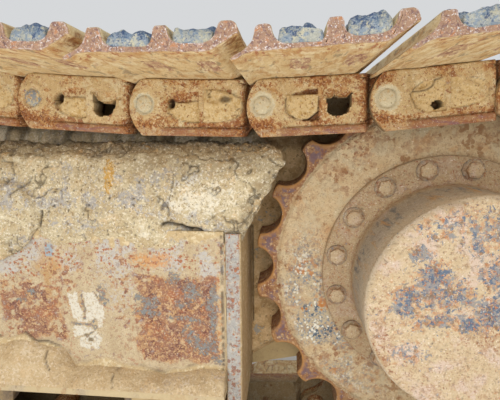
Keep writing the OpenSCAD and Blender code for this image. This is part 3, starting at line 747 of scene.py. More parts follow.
# The windows are 1 less the powered distances from their straight inner sides, with noise; a cell that is a
# hole at all four corners is left out. pin says what covers the pin's end
def makeLink(i, side, step, leftState, rightState, seed, pin="plain"):
    s = linkShape
    x, z = linkGrid(step)
    flat = vec(x + 500 * seed, z, 0)
    rough = fractal(flat, 16, 4, seed)
    lumps = fractal(flat, 11, 3, seed + 3)
    radius = np.hypot(x, z)
    out = s["out"] + s["boss"] * ease(x, 48, 22)
    out = out - 12 * ease(x, 158, 166)                         # under the next link's boss
    out = out + 1.2 * ease(z, -37, -39.5) * ease(x, 165, 158)  # the worn rail band
    if step == s["step"]:
        out = out - 1.6 * bell(radius - 14, 1.2) + 1.2 * ease(radius, 26, 22) * ease(radius, 15, 17)
        out = out + 0.9 * rough + 0.5 * fractal(flat, 5, 2, seed + 5)
        out = out - 2.5 * bell(z + 36, 1.5) * ease(x, 20, 50)
    out = out - 2.0 * (1 - np.minimum(ease(z, s["low"], s["low"] + 3), ease(-z, -s["high"], -s["high"] + 2)))
    w1 = 1 - (np.abs(87 - x) / 50) ** 2.6 - (np.abs(z + 3.5) / 24.5) ** 2.6 - 9 * (x > 87)
    w2 = 1 - (np.abs(x - 95) / 55) ** 2.6 - (np.abs(z + 2.5) / 22.5) ** 2.6 - 9 * (x < 95)
    w1 = w1 + 0.18 * fractal(flat, 9, 3, seed + 9)
    w2 = w2 + 0.16 * fractal(flat, 9, 3, seed + 12)
    windows = ((leftState, w1, 62), (rightState, w2, 122))
    fills = [windowFill(state, w, sx, x, z, flat, lumps, seed) for state, w, sx in windows]
    rises, plug, flaky, dark, holes = zip(*fills)
    out = out + rises[0] + rises[1]
    plug, flaky = greatest(0 * x, *plug), greatest(0 * x, *flaky)
    keep = ~np.any([hole[:-1, :-1] & hole[1:, :-1] & hole[:-1, 1:] & hole[1:, 1:] for hole in holes], axis=0)
    cloud = fractal(flat, 45, 3, seed + 40) * 0.5 + 0.5
    rust = 0.12 + 1.1 * (cloud - 0.4) + 0.6 * ease(x, 143, 165) \
        + 0.25 * ease(radius, 40, 30) * ease(radius, 20, 28) \
        + 0.4 * flaky + 0.35 * ease(z, -20, -34) * ease(z, -40, -36) + 0.2 * ease(z, 20, 34)
    # The dark mask is painted shade: in the windows, a painted shadow at the seam under the next link's boss,
    # and painted shade in the rail's groove and round the pin's edge
    dark = greatest(*dark, 0.85 * bell(x - 166, 3) * ease(z, -46, -38),             # the seam to the next link
                    0.45 * bell(z + 36, 1.6) * ease(x, 20, 45) * ease(x, 164, 156),  # the rail's groove
                    (0.2 + 0.25 * rough) * bell(radius - 13.6, 1.4))                # the pin's edge
    masks = {
        "band": ease(z, -35.5, -38) * (0.4 + 0.6 * ease(x, 18, 40)) * ease(x, 170, 160),
        "rust": np.clip(rust, 0, 1) * (1 - 0.8 * plug),
        "ring": ease(radius, 24 if pin == "mud" else 19, 16) * (x < 40) * (pin in ("pale", "mud")),
        "blue": ease(radius, 20, 12) * {"pale": 0.4, "steel": 0.55}.get(pin, 0.0),
        "plug": plug, "dark": np.clip(dark, 0, 1) * (1 if step == s["step"] else 0.5),
    }
    # The rear faces, between the two rows of links, get painted shade
    rear = onLink(i, x, side * (s["in"] + 22 * ease(x, 42, 34)), z)
    return slab(onLink(i, x, side * out, z), rear, masks, {"dark": 0.8}, keep)


print("links")
nearLinks = {  # link: windows' states, seed, what covers the pin's end
    3: ("plug", "plug", 2, "plain"), 2: ("half", "open", 4, "steel"), 1: ("half", "sheet", 7, "pale"),
    0: ("block", "wide", 10, "mud"), 44: ("torn", "plug", 12, "mud"), 43: ("plug", "plug", 16, "mud"),
}
farLinks = [i for i in range(linkCount) if i not in nearLinks]
parts = [makeLink(i, -1, linkShape["step"], *row) for i, row in nearLinks.items()]
putMesh("outer_links_drive_end", parts, linkMaterial, sharp=50)
parts = [makeLink(i, -1, linkShape["farStep"], "dimple", "open" if i % 4 == 1 else "dimple", i % 5)
         for i in farLinks]
putMesh("outer_links", parts, linkMaterial, sharp=40, instead=["links_outer"])
parts = [makeLink(i, 1, linkShape["farStep"], "dimple", "dimple", i % 6) for i in range(linkCount)]
# The inner row's painted shade is a little weaker
for part in parts:
    part[2]["dark"] *= 0.8
putMesh("inner_links", parts, linkMaterial, sharp=40, instead=["links_inner"])

# Bushings with a worn middle, and the pins' ends in the links' bosses
bushing = {"radius": 21.5, "wear": 1.2, "half": 66.0, "barePin": 3,
           "pin": [(12.4, 88), (12.4, 106.2), (10.4, 107.4), (5, 107.8)]}
parts = []
for i in range(linkCount):
    y = np.linspace(-bushing["half"], bushing["half"], 10)
    r = bushing["radius"] - bushing["wear"] * bell(y, 30) - 1.5 * (np.abs(y) > 62)
    # The bushings get a little painted shade, where they lie behind the links
    parts.append(tube(turned(vec(r, y), pins[i], 20), {"rust": 0.7, "dark": 0.15}))
    masks = {"rust": 0.35, "blue": 0.62} if i == bushing["barePin"] else {"rust": 0.35, "ring": 0.9}
    for side in (-1, 1):
        profile = np.array(bushing["pin"]) * (1, side)
        parts.append(tube(turned(profile, pins[i], 14), masks))
putMesh("bushings_and_pins", parts, linkMaterial, sharp=40, instead=["bushings"])

print("shoes")
shoeShape = {
    # upper line from the lip under the neighbour to the hooked tail, and the underside, as (x, z)
    "upper": [(-22, 35), (-18, 38.6), (-11, 42), (-3, 46.5), (3, 52), (5.5, 58), (6.5, 64), (9.5, 67.6), (21.5, 68),
              (24.5, 65.4), (25.5, 59), (28, 53.5), (32, 49.6), (38, 47.4), (74, 47.4), (78, 50), (80.5, 55),
              (81.5, 64), (84.5, 69.2), (96.5, 69.6), (99.5, 66.6), (100.5, 59), (103.5, 53.5), (110, 50.6),
              (136, 51.2), (144, 53.5), (149, 58), (151.5, 65), (153.5, 70.6), (157, 73), (168, 73.2), (172.6, 71),
              (175.3, 65), (175.5, 59)],
    "lower": [(-22, 35), (-19.5, 32.4), (-13, 33.6), (-6, 37.6), (4, 40), (20, 40), (60, 40), (100, 40), (130, 40),
              (142, 40.2), (149, 43), (153, 46.4), (160, 50), (165.5, 53), (170, 57), (173, 58.6), (175.5, 59)],
    "half": 300.0,
    "padX": (56, 125), "padY": 206,  # worn spots on the underside
    "boltX": (58.0, 122.0), "boltY": (58.0, 100.0), "boltZ": 48.4, "boltR": 15.0, "boltUp": 12.0,
}


def makeShoe(i, count, stations, seed, fine):
    s = shoeShape
    upper = evenly(s["upper"], count)
    lower = vec(upper[:, 0], np.interp(upper[:, 0], *np.array(s["lower"]).T))
    lower[0], lower[-1] = upper[0], upper[-1]
    lower[:, 1] = np.minimum(lower[:, 1], upper[:, 1])
    loop = np.concatenate([upper, lower[-2:0:-1]])
    n = len(loop)
    x, y, z = np.broadcast_arrays(loop[:, 0], stations[:, None], loop[:, 1])
    p = vec(x + 900 * seed, y, z)
    tangent = np.roll(loop, -1, 0) - np.roll(loop, 1, 0)
    normal = vec(-tangent[:, 1], tangent[:, 0])
    normal = normal / np.linalg.norm(normal, axis=1, keepdims=True)
    rough = fractal(p, (22, 60, 22), 4, seed)
    near = ease(np.abs(y), s["half"] - 4, s["half"])
    lift = 0.9 * rough - (0.4 if fine else 0) - 0.9 * near ** 2 + 1.0 * near * fractal(p, 9, 3, seed + 3)
    onPad = np.zeros_like(x)
    if fine:
        for cx in s["padX"]:
            onPad = np.maximum(onPad, ease(14 - np.abs(x - cx) + 2 * rough, 0, 2)
                               * ease(38 - np.abs(np.abs(y) - s["padY"]) + 3 * rough, 0, 3))
        onPad = onPad * (z < 41)
        lift = lift - 2.2 * onPad + 0.5 * fractal(p, (9, 14, 9), 3, seed + 5) * (z < 43)
    local = vec(x + normal[:, 0] * lift, y + 0.8 * near * fractal(p, 14, 3, seed + 7), z + normal[:, 1] * lift)
    # Each end is closed by a ring drawn in from the outline, then by faces from its top to its bottom
    deep = np.minimum(3.2, 0.3 * (upper[:, 1] - lower[:, 1]))
    deep = np.concatenate([deep, deep[-2:0:-1]])[:, None] * normal
    ends = local[[0, -1]] - vec(deep[:, 0], 0, deep[:, 1])
    points = onLink(i, *np.moveaxis(np.concatenate([local, ends]), -1, 0))
    faces = [gridFaces(len(stations), n, wrapV=True)]
    k, around = np.arange(1, count - 2), np.arange(n)
    for row, inner, turn in ((0, len(stations), 1), (len(stations) - 1, len(stations) + 1, -1)):
        edge = vec(around + row * n, (around + 1) % n + row * n, (around + 1) % n + inner * n,
                   around + inner * n)
        cap = vec(k, k + 1, n - k - 1, n - k) + inner * n
        tips = np.array([[0, 1, n - 1], [count - 2, count - 1, count]]) + inner * n
        faces += [edge[:, ::turn], cap[:, ::turn], tips[:, ::turn]]
    end = ease(np.abs(y), s["half"] - 1.5, s["half"] - 0.4)
    # rim is 1 on the end's outline and 0 on the ring drawn in from it: a painted highlight along the edge
    masks = {"end": end, "pad": onPad * (1 - end), "streak": ease(np.abs(y), 235, 290) * (1 - end) * (z < 46),
             "tail": ease(x, 150, 164) * (1 - end) * (z < 66), "rim": end}
    return points, faces, {key: np.append(m, np.full(2 * n, float(key == "end"))) for key, m in masks.items()}


fineY = np.concatenate([[-300, -299, -297.5, -295], np.arange(-291, -98, 5.0), np.arange(-90, 295, 24.0),
                        [295, 297.5, 299, 300]])
coarseY = np.array([-300, -299, -296, -260, -200, -120, -40, 40, 120, 200, 260, 296, 299, 300.0])
parts = [makeShoe(i, 96, fineY, i % 9 + 1, True) for i in nearLinks]
putMesh("shoes_drive_end", parts, shoeMaterial, sharp=55)
parts = [makeShoe(i, 44, coarseY, i % 13 + 1, False) for i in farLinks]
putMesh("shoes", parts, shoeMaterial, sharp=45, instead=["track_shoes"])


# A six-sided bolt head on a washer, standing at a place along an axis, as rings of (radius, height)
def boltHead(place, axis, radius, height, seed, washer=1.25, sides=6):
    axis = np.asarray(axis, float) / np.linalg.norm(axis)
    u = np.cross(axis, [0.3, 1, 0.2] if abs(axis[1]) < 0.9 else [1, 0.1, 0])
    u = u / np.linalg.norm(u)
    v = np.cross(axis, u)
    profile = np.array([(radius * washer, -1.0), (radius * washer, 2.4), (radius, 2.6), (radius, height - 1.6),
                        (radius * 0.84, height), (radius * 0.3, height + 0.4)])
    turn = np.linspace(0, 2 * np.pi, 2 * sides, endpoint=False)
    flat = np.cos(np.pi / sides) / np.cos(turn % (2 * np.pi / sides) - np.pi / sides)
    turn = turn + seed * 1.7
    r = profile[:, :1] * np.where(np.arange(len(profile))[:, None] > 1, flat, 1.0)
    return place + (r * np.cos(turn))[..., None] * u + (r * np.sin(turn))[..., None] * v \
        + profile[:, 1][:, None, None] * axis


s = shoeShape
parts = []
for i in range(linkCount):
    up = onLink(i, 0, 0, 1) - onLink(i, 0, 0, 0)
    for x in s["boltX"]:
        for y in s["boltY"]:
            for side in (-1, 1):
                head = boltHead(onLink(i, x, side * y, s["boltZ"]), up, s["boltR"], s["boltUp"], i % 7)
                parts.append(tube(head, {"end": 0.35, "tail": 0.4}))
putMesh("shoe_bolts", parts, shoeMaterial, sharp=35)


# Clay packed between the shoes' bars: its height times two powers, (1-|u|^5) and (1-|v|^22), broken up by noise
def clayLump(i, x0, x1, y0, y1, low, high, seed, step):
    nu, nv = max(int((x1 - x0) / step), 5), max(int((y1 - y0) / step), 6)
    u, v = np.meshgrid(np.linspace(-1, 1, nu), np.linspace(-1, 1, nv), indexing="ij")
    x, y = (x0 + x1) / 2 + u * (x1 - x0) / 2, (y0 + y1) / 2 + v * (y1 - y0) / 2
    p = vec(x + 700 * seed, y, 0)
    form = np.clip(1 - np.abs(u) ** 5, 0, 1) ** 0.4 * np.clip(1 - np.abs(v) ** 22, 0, 1) ** 0.4
    ragged = 0.72 + 0.5 * fractal(p, 26, 3, seed)
    crumbs = 2.2 * fractal(p, 8, 3, seed + 2) - 3.2 * cells(p, 15, seed)[0]
    top = low + (high - low) * form * ragged + form * crumbs
    top = np.maximum(top, low + 0.6 * form)
    rise = (top - low) / max(high - low, 1)
    # dark is painted shade at the lump's ends, where it meets the bars
    masks = {"wet": ease(rise + 0.3 * fractal(p, 14, 3, seed + 8), 0.25, 0.8),
             "dark": 0.8 * ease(np.abs(u), 0.93, 0.99)}
    front = onLink(i, x + 4 * fractal(p, 18, 2, seed + 6) * (1 - np.abs(u)), y, top)
    return slab(front, onLink(i, x, y, low - 1.6), masks, {})


clayLumps = [  # link, x0, x1, y0, y1, low, high
    (3, 104, 148, -299, -190, 50, 84), (2, 28, 78, -299, -200, 47, 72), (2, 104, 148, -299, -220, 50, 82),
    (2, -2, 8, -299, -250, 48, 60), (1, 28, 80, -299, -190, 47, 74), (1, 103, 149, -299, -180, 50, 80),
    (0, 30, 80, -299, -205, 47, 76), (0, 102, 150, -299, -190, 50, 84), (44, 28, 80, -299, -200, 47, 84),
    (44, 103, 149, -299, -210, 50, 76), (43, 30, 78, -299, -220, 47, 80),
]
parts = [clayLump(*c, k + 2, 2.4) for k, c in enumerate(clayLumps)]
pick = np.random.default_rng(5)
for i in range(linkCount):
    for x0, x1, low in ((30, 80, 47.5), (102, 149, 50.5)):
        if i in nearLinks or pick.random() < 0.35:
            y0 = pick.uniform(-240, 100) if i not in nearLinks else pick.uniform(-120, 60)
            y1 = min(y0 + pick.uniform(80, 190), 298)
            parts.append(clayLump(i, x0, x1, y0, y1, low, low + pick.uniform(10, 24), i % 17 + 20, 9))
putMesh("clay_on_shoes", parts, clayMaterial, sharp=60)

print("sprocket")
gear = {
    "teeth": 21, "seat": 111.0, "gapC": 335.05, "gapR": 37.0, "gapSwing": (256, 104), "tip": 331.3, "half": 35.0,
    "bevel": 3.5, "face": 39.0, "bore": 164.0, "discBack": -9.0, "rimBore": 266.0, "foot": 290.5,
    "footInset": 9.0,
}


# The toothed outline: arcs of the gaps, and between two of them a curve with two inner points near the tip
def gearOutline(perGap, perTip):
    g = gear
    step = 2 * np.pi / g["teeth"]
    gaps = np.radians(g["seat"]) + np.arange(g["teeth"])[:, None] * step
    swing = np.radians(np.linspace(*g["gapSwing"], perGap))[None]
    arc = vec(g["gapC"] * np.cos(gaps) + g["gapR"] * np.cos(gaps + swing),
              g["gapC"] * np.sin(gaps) + g["gapR"] * np.sin(gaps + swing))
    mid = gaps[:, 0] + step / 2
    reach = (g["tip"] - 0.4) * 1.003
    b1, b2 = (reach * vec(np.cos(mid + shift), np.sin(mid + shift)) for shift in (-0.022, 0.022))
    t = np.linspace(0, 1, perTip + 2)[1:-1][None, :, None]
    tip = (1 - t) ** 3 * arc[:, -1:] + 3 * t * (1 - t) ** 2 * b1[:, None] \
        + 3 * t * t * (1 - t) * b2[:, None] + t ** 3 * np.roll(arc, -1, 0)[:, :1]
    return np.concatenate([arc, tip], 1).reshape(-1, 2)


g = gear
outline = gearOutline(17, 7)
tangent = np.roll(outline, -1, 0) - np.roll(outline, 1, 0)
outward = vec(tangent[:, 1], -tangent[:, 0])
outward = outward / np.linalg.norm(outward, axis=1, keepdims=True)
ringUnit = outline / np.linalg.norm(outline, axis=1, keepdims=True)
# Sections (kind, value, y): an inset from the outline, a radius, or a share of the way to the teeth's foot
half, face, disc, bevel = g["half"], g["face"], g["discBack"], g["bevel"]
sections = [
    ("radius", g["rimBore"], half), ("share", 0.5, half), ("inset", bevel + 2, half), ("inset", 1.2, half - 1.0),
    ("inset", 0.0, half - bevel), *(("inset", 0.0, y) for y in (18, 6, -6, -18)),
    ("inset", 0.0, bevel + 2 - half),
    ("inset", 0.5, bevel - 1 - half), ("inset", 2.2, 0.8 - half), ("inset", 5.0, -half), ("inset", 9.0, -half),
    ("share", 0.4, -half), ("share", 0.8, -half), ("radius", 289.5, -half - 0.2), ("radius", 287.5, -half - 2.4),
    ("radius", 284.5, -face - 0.6),
    *(("radius", r, -face) for r in [*np.arange(281, 205, -4.0), 190, g["bore"]]),
    ("radius", g["bore"], -20), *(("radius", r, disc) for r in (g["bore"], 190, 230, 262)),
    ("radius", g["rimBore"], disc + 4), ("radius", g["rimBore"], 12),
]
rings = []
for kind, value, y in sections:
    flat = ringUnit * value
    if kind == "inset":
        flat = outline - outward * value
    elif kind == "share":
        flat = (outline - outward * g["footInset"]) * (1 - value) + ringUnit * g["foot"] * value
    rings.append(vec(flat[:, 0], y, flat[:, 1]))
body = np.array(rings)
around = np.arctan2(body[..., 2], body[..., 0])
far = np.hypot(body[..., 0], body[..., 2])
onFace = ease(-body[..., 1], 30, 34) * ease(far, 205, 212)
rough = 0.8 * fractal(body, 24, 4, 3) + 0.35 * fractal(body, 6, 2, 9)
body[..., 1] -= onFace * rough
away = vec(np.cos(around), 0, np.sin(around))
body = body + away * (0.9 * fractal(body, 30, 3, 14) * ease(far, 291, 297))[..., None]
toothy = ease(far, 289, 293)
outer = body[..., 1] < -30
edgeRow = [np.interp(value, [0, 2.2, 5, 9], [0.8, 1, 0.45, 0]) * (kind == "inset" and y < -30)
           for kind, value, y in sections]
worn = np.array(edgeRow)[:, None] * (0.35 + 0.65 * ease(fractal(body, 20, 2, 30), -0.3, 0.2))
wide = fractal(body, 90, 3, 21) * 0.5 + 0.5
toothTurn = 0.5 - 0.5 * np.cos(g["teeth"] * (around - np.radians(g["seat"])))  # 0 at the gaps, 1 at the tips
masks = {
    "tooth": toothy * (0.72 + 0.28 * ease(wide, 0.3, 0.6)),
    "edge": ease(far, 292, 298) * worn,
    "mid": ease(toothTurn, 0.3, 0.8) * ease(far, 293, 301) * ease(325 - far, 0, 7) * outer
    * ease(fractal(body, 46, 2, 33), -0.5, -0.1),
    "rust": np.clip((0.35 + 0.7 * ease(wide, 0.45, 0.7)) * (1 - toothy), 0, 1),
    "blue": blot(np.degrees(around) % 360, far, 206, 243, 34, 42, 0.6) * ease(-far, -289, -276)
    * ease(fractal(body, 40, 3, 23), -0.55, 0.05),
    # dark is painted shade in the corner where the teeth meet the disc's shoulder
    "dark": 0.35 * bell(far - 291, 1.2) * outer,
}
# The sections close on themselves, so both ways of the grid wrap
faces = [gridFaces(len(sections), len(outline), wrapU=True, wrapV=True)]
putMesh("toothed_sprocket", [(body, faces, masks)], wheelMaterial, sharp=60,
        instead=["sprocket"])

print("hub")
drum = {"radius": 161.2, "flange": 208.5, "face": -53.0, "front": -202.2, "bolts": 16, "boltRing": 187.5,
        "firstBolt": 169.86, "boltR": 14.0, "boltUp": 11.0}
d = drum
# (radius, y) from the inside over the flange, along the wall and over the lip to the cover's middle
profile = [(0.01, 10), (150, 10), (150, -2), (161, -2), (161, -38), (207, -38.2), (d["flange"], -40),
           (d["flange"], d["face"] + 3), (206, d["face"]), (196, d["face"]), (184, d["face"]), (173, d["face"] - 1),
           (166, d["face"] - 5), (162.5, d["face"] - 11)]
profile += [(d["radius"] - 0.4 * k / 22, y) for k, y in enumerate(np.linspace(-70, -188, 23))]
profile += [(162.2, -189.5), (162.9, -191.5), (162.6, -194), (161.2, -197), (158.6, -199.8), (155, -201.6),
            (151, -202)]
profile += [(r, d["front"]) for r in [*np.arange(146, 8, -4.0), 0.01]]
rings = turned(profile, (0, 0), 288)
x, y, z = np.moveaxis(rings, -1, 0)
away = vec(x, 0, z) / np.hypot(x, z)[..., None]
inside = (np.arange(len(profile)) < 7)[:, None]
onFace = ease(-y, 196, 201)
onWall = (1 - onFace) * ease(-y, 58, 66)
onFlange = (~inside) * (1 - ease(-y, 56, 64))
lump = blots(x, z, [(7, -56, 146, 12, 9, 0.7), (2.5, -110, 60, 40, 30, 0.8), (2, -60, -60, 60, 40, 0.8)])
rough = 1.1 * fractal(rings, 26, 5, 5) + 1.2 * fractal(rings, 70, 2, 6)
bareSpots = [  # cx, cz, rx, rz, strength
    (-92, 82, 14, 12, 0.8), (-72, 50, 24, 22, 1.0), (-60, 26, 40, 22, 0.8), (-104, 14, 22, 24, 0.9),
    (-84, -14, 26, 14, 0.6), (-56, -10, 18, 16, 0.8), (-30, 20, 20, 18, 0.55), (-18, -16, 22, 12, 0.9),
    (8, 0, 22, 24, 1.0), (14, 54, 26, 22, 0.9), (24, 30, 14, 26, 0.9), (16, 20, 14, 14, 0.7),
    (-98, -62, 26, 16, 0.5), (-52, 128, 60, 14, 0.55), (0, 116, 44, 26, 0.6), (34, 84, 24, 20, 0.6),
    (-10, 140, 30, 12, 0.4), (-140, -2, 20, 12, 0.35), (-70, 108, 26, 12, 0.5), (-12, 92, 26, 14, 0.6),
]
bare = onFace * greatest(*(strength * blot(x, z, *spot, 0.85) for *spot, strength in bareSpots))
chips = 0.8 * fractal(rings, 18, 3, 15) * ease(-y, 150, 188) * (1 - onFace)
shaped = rings + away * ((onWall * 0.9 * rough + chips) * (~inside))[..., None]
shaped[..., 1] -= onFace * (rough + lump - 1.6 * bare) \
    + onFlange * (0.9 * rough + 0.8 * ease(fractal(shaped, 22, 3, 17), 0, 0.5))
rust = 0.4 * onFlange + 0.2 * onWall * ease(-y, 140, 185) + 0.5 * onWall * ease(92 + y, 0, 22) \
    + onFace * blots(x, z, [(0.4, -138, -20, 22, 90, 0.8), (0.35, -50, 140, 90, 24, 0.8), (0.5, 6, -30, 34, 26, 0.7),
                            (0.35, -70, -110, 110, 70, 0.8)])
masks = {
    "blue": bare, "wall": ease(-y, 74, 100) * ease(190 + y, 0, 34) * (1 - onFace),
    "flange": onFlange + onWall * ease(100 + y, 0, 36), "rust": np.clip(rust, 0, 1),
    "dark": 0.35 * ease(0.24 - cells(shaped, 9, 4)[0], 0, 0.08) * (onFace + onWall),
    # lip is a painted highlight, growing toward the front rim
    "lip": onWall * ease(-y, 128, 182),
}
putMesh("hub_and_cover", [tube(shaped, masks)], hubMaterial, sharp=60,
        instead=["hub_drum", "hub_cover"])

parts = []
for k in range(d["bolts"]):
    a = np.radians(d["firstBolt"] + k * 360 / d["bolts"])
    place = np.array([d["boltRing"] * np.cos(a), d["face"] - 0.6, d["boltRing"] * np.sin(a)])
    points, faces, masks = tube(boltHead(place, (0, -1, 0), d["boltR"], d["boltUp"], k, washer=1.32), {})
    beside = np.hypot(*(points - place)[:, [0, 2]].T) / d["boltR"]
    onWasher = ease(beside, 1.02, 1.1)
    # dark is painted shade on the washer round the head
    masks = {"wall": 0.8 * onWasher, "flange": 0.5, "rust": 0.5 * ease(beside, 0.5, 0.9),
             "dark": 0.3 * onWasher}
    parts.append((points + 0.7 * fractal(points, 9, 2, k)[:, None], faces, masks))
putMesh("hub_bolts", parts, hubMaterial, sharp=40)

print("mud")
cake = {
    "left": -900.0, "right": -252.0, "foot": 70, "bendTop": 112, "highest": 241.5,
    # cross-section from the front edge over the top to the inner edge, and back under, as (y, z)
    "over": [(-131.5, 70), (-137, 82), (-140, 105), (-139, 150), (-134, 182), (-124, 204), (-108, 219), (-86, 228),
             (-50, 233), (0, 234), (50, 232), (86, 216), (108, 184), (122, 140), (132, 95), (133.5, 72)],
    "under": [(126, 66), (60, 104), (0, 106), (-60, 104), (-122, 68)],
    # height of the front edge along the plate, as x and z
    "edgeX": [-900, -800, -767, -728, -701, -683, -661, -635, -608, -581, -537, -516, -483, -472, -436, -412, -398,
              -391, -377, -352, -338, -250],
    "edgeZ": [22, 26, 33, 49, 70, 73, 58, 60, 64, 67, 66, 52, 54, 54, 66, 82, 79, 68, 84, 86, 89, 89],
    # right end along the gap to the teeth, as z and x
    "endZ": [60, 88, 109, 137, 157, 168, 185, 202, 214, 222, 228, 236],
    "endX": [-346, -339, -328, -314, -300, -294, -285, -274, -277, -288, -303, -318],
    # the slab's right edge, as z and x, and the cracks as (line of (x, z), width, strength)
    "slabZ": [20, 33, 49, 73, 92, 115, 131, 148, 160],
    "slabX": [-800, -767, -728, -699, -688, -680, -680, -690, -704],
    "cracks": [([(-800, 20), (-755, 36), (-722, 51), (-694, 76), (-684, 90)], 2.6, 0.9),
               ([(-690, 74), (-681, 77), (-670, 71)], 2.6, 1.0),
               ([(-680, 96), (-676, 108), (-675, 122)], 2.0, 0.9),
               ([(-471, 103), (-462, 106), (-446, 103), (-436, 99)], 3.0, 1.0),
               ([(-440, 101), (-428, 96), (-416, 91), (-407, 84), (-399, 82)], 4.6, 1.0),
               ([(-646, 62), (-628, 64), (-612, 69)], 1.8, 0.85),
               ([(-604, 68), (-575, 71), (-545, 71), (-528, 68)], 1.7, 0.7),
               ([(-346, 100), (-331, 122), (-327, 130)], 2.0, 0.5),
               ([(-466, 138), (-460, 128), (-461, 118)], 1.6, 0.6),
               ([(-720, 150), (-700, 165), (-690, 178)], 2.0, 0.5)],
    # each end is rounded over by rings drawn in to its middle, as (share, shift)
    "start": [(0.8, 7), (0.45, 7), (0.2, 5), (0.07, 3)],
    "finish": [(0.02, 1.2), (0.07, 2.2), (0.2, 3), (0.45, 3.5), (0.8, 3.5)],
}
c = cake
columns = np.concatenate([np.arange(c["left"], -790, 5.0), np.arange(-790, c["right"] + 0.1, 2.0)])
over = rounded(c["over"], 14)
at = np.concatenate([np.arange(0, 196, 2.0), np.arange(196, 350, 4.0), np.linspace(350, lengths(over)[-1], 26)])
section = np.concatenate([along(over, at), evenly(c["under"], 12)])
x, y, z = np.broadcast_arrays(columns[:, None], section[:, 0], section[:, 1])
row = np.arange(len(section))[None, :]
front, outer = row < 100, (row < len(at)) * np.ones_like(x)
# The front edge follows its own line; the rest of the face keeps its height
edge = (np.interp(columns, c["edgeX"], c["edgeZ"]) + 2.2 * fractal(vec(columns, 0, 0), 14, 3, 2))[:, None]
bend = (c["bendTop"] - edge) / (c["bendTop"] - c["foot"])
z = np.where(front & (z < c["bendTop"]), edge + (z - c["foot"]) * bend, z)
y = np.where(front & (z < edge + 12), y + 4.5 * (1 - (z - edge) / 12) ** 2, y)
# The right end bends to the gap round the teeth, the left end slopes down
rightEnd = vec(0, 0.2 * y, z)  # it changes little across the mud, so its outline is ragged
chunk, chunkNumber = cells(rightEnd, 14, 6)
ends = np.interp(z, c["endZ"], c["endX"]) + 4 * fractal(rightEnd, 13, 5, 5) + 6 * (chunkNumber - 0.65) \
    + 4 * (0.35 - chunk) - 1.5
x = x + ease(x, -440, c["right"]) * (ends - c["right"])
roof = np.interp(np.abs(y), [60, 131], [112, 70])
z = np.where(z > roof, roof + (z - roof) * (0.25 + 0.75 * ease(x, c["left"] - 5, c["left"] + 75)), z)
p = vec(x, y, z)
n = gridNormals(p, (len(columns) // 2, 40), wrapV=True)
slabGap = x - np.interp(z, c["slabZ"], c["slabX"]) + 2 * fractal(p, 12, 2, 40)
onSlab = ease(-slabGap, 0, 5) * ease(172 - z + 8 * fractal(p, 20, 2, 42), 0, 10) * front
# The top band is gravel, its darker colour partly painted shade under the chain
gravel = ease(z + 9 * fractal(p, 26, 2, 44), 205, 219) * outer
smooth = blots(x, z, [(1, -405, 150, 80, 50, 0.5), (0.6, -500, 100, 60, 34, 0.5)]) + 0.7 * onSlab
smooth = np.clip(smooth, 0, 1) * front
pebble, pebbleNumber = cells(p, 13, 60)
height = 4.2 * fractal(p, 62, 3, 50) + (5.0 - 2.8 * smooth) * fractal(p, 19, 4, 51) \
    + 2.4 * fractal(p, 6, 2, 52) * (1 - 0.5 * smooth) \
    + gravel * (5.5 * (0.5 - pebble) + 4 * (pebbleNumber - 0.5)) \
    + 3.2 * (1 - gravel) * (0.45 - cells(p, 30, 63)[0]) * (1 - smooth) + 7.5 * onSlab
hollow = blot(x, z, -432, 86, 34, 13, 0.5) * front
height = height - 9 * hollow - 4 * blot(x, z, -672, 142, 16, 26, 0.7) * front \
    + blots(x, z, [(4.5, -645, 208, 42, 9, 0.6), (4, -560, 205, 14, 10, 0.6), (5, -292, 216, 20, 15, 0.5),
                   (3.5, -350, 190, 60, 22, 0.8)])
# The dark mask is painted shade in the cracks, pits and clefts, which are also sunk
dark = np.zeros_like(x)
for line, width, strength in c["cracks"]:
    gap = lineGap(x + 1.8 * fractal(p, 9, 2, 70), z + 1.8 * fractal(p, 9, 2, 71), line)
    groove = bell(gap, width) * front * strength
    dark = np.maximum(dark, groove)
    height = height - 6.0 * groove
pit, pitNumber = cells(p, 12, 80)
pits = ease(0.2 - pit, 0, 0.09) * (pitNumber > 0.55) * (1 - 0.5 * smooth)
clefts = ease(0.055 - np.abs(fractal(p, 26, 3, 83)), 0, 0.04) * ease(fractal(p, 60, 2, 84), 0.05, 0.3)
height = height - 2.5 * pits - 2.6 * clefts
dark = greatest(dark, 0.75 * pits, 0.6 * clefts) * outer
rim = np.clip(ease(z - edge, 0, 7) * front + (~front), 0.15, 1)
tail = ease(np.arange(len(columns)), len(columns) - 1, len(columns) - 5)[:, None]
p = p + n * (height * outer * rim * (0.55 + 0.45 * tail))[..., None]
p[..., 2] = np.minimum(p[..., 2], c["highest"])
start = [p[0] + (p[0].mean(0) - p[0]) * share - (shift, 0, 0) for share, shift in c["start"]]
finish = [p[-1] + (p[-1].mean(0) - p[-1]) * share + (shift, 0, 0) for share, shift in c["finish"]]
rings = np.concatenate([start, p, finish])
rings[-4:, :, 0] += 1.5 * fractal(rings[-4:], 11, 3, 90)
crumbly = ease(30 + 14 * fractal(p, 18, 3, 108) - (ends - x), 0, 14)
crusted = 0.45 * ease(z + 16 * fractal(p, 34, 3, 109), 168, 206) * ease(x, -600, -500)
worn = greatest(0.5 * crumbly, crusted) * outer
grey = ease(fractal(p, 70, 4, 100) * 0.5 + 0.5, 0.54, 0.66) * 0.75 + 0.9 * hollow \
    + blots(x, z, [(1, -727, 150, 34, 34, 0.6), (0.9, -655, 138, 50, 16, 0.7), (0.8, -545, 138, 46, 14, 0.7),
                   (0.8, -455, 178, 70, 18, 0.6), (0.8, -620, 100, 60, 16, 0.6)])
pale = blots(x, z, [(1, -400, 148, 60, 34, 0.6), (0.7, -480, 100, 46, 30, 0.6)]) \
    + 0.5 * ease(fractal(p, 30, 3, 104), 0.1, 0.5)
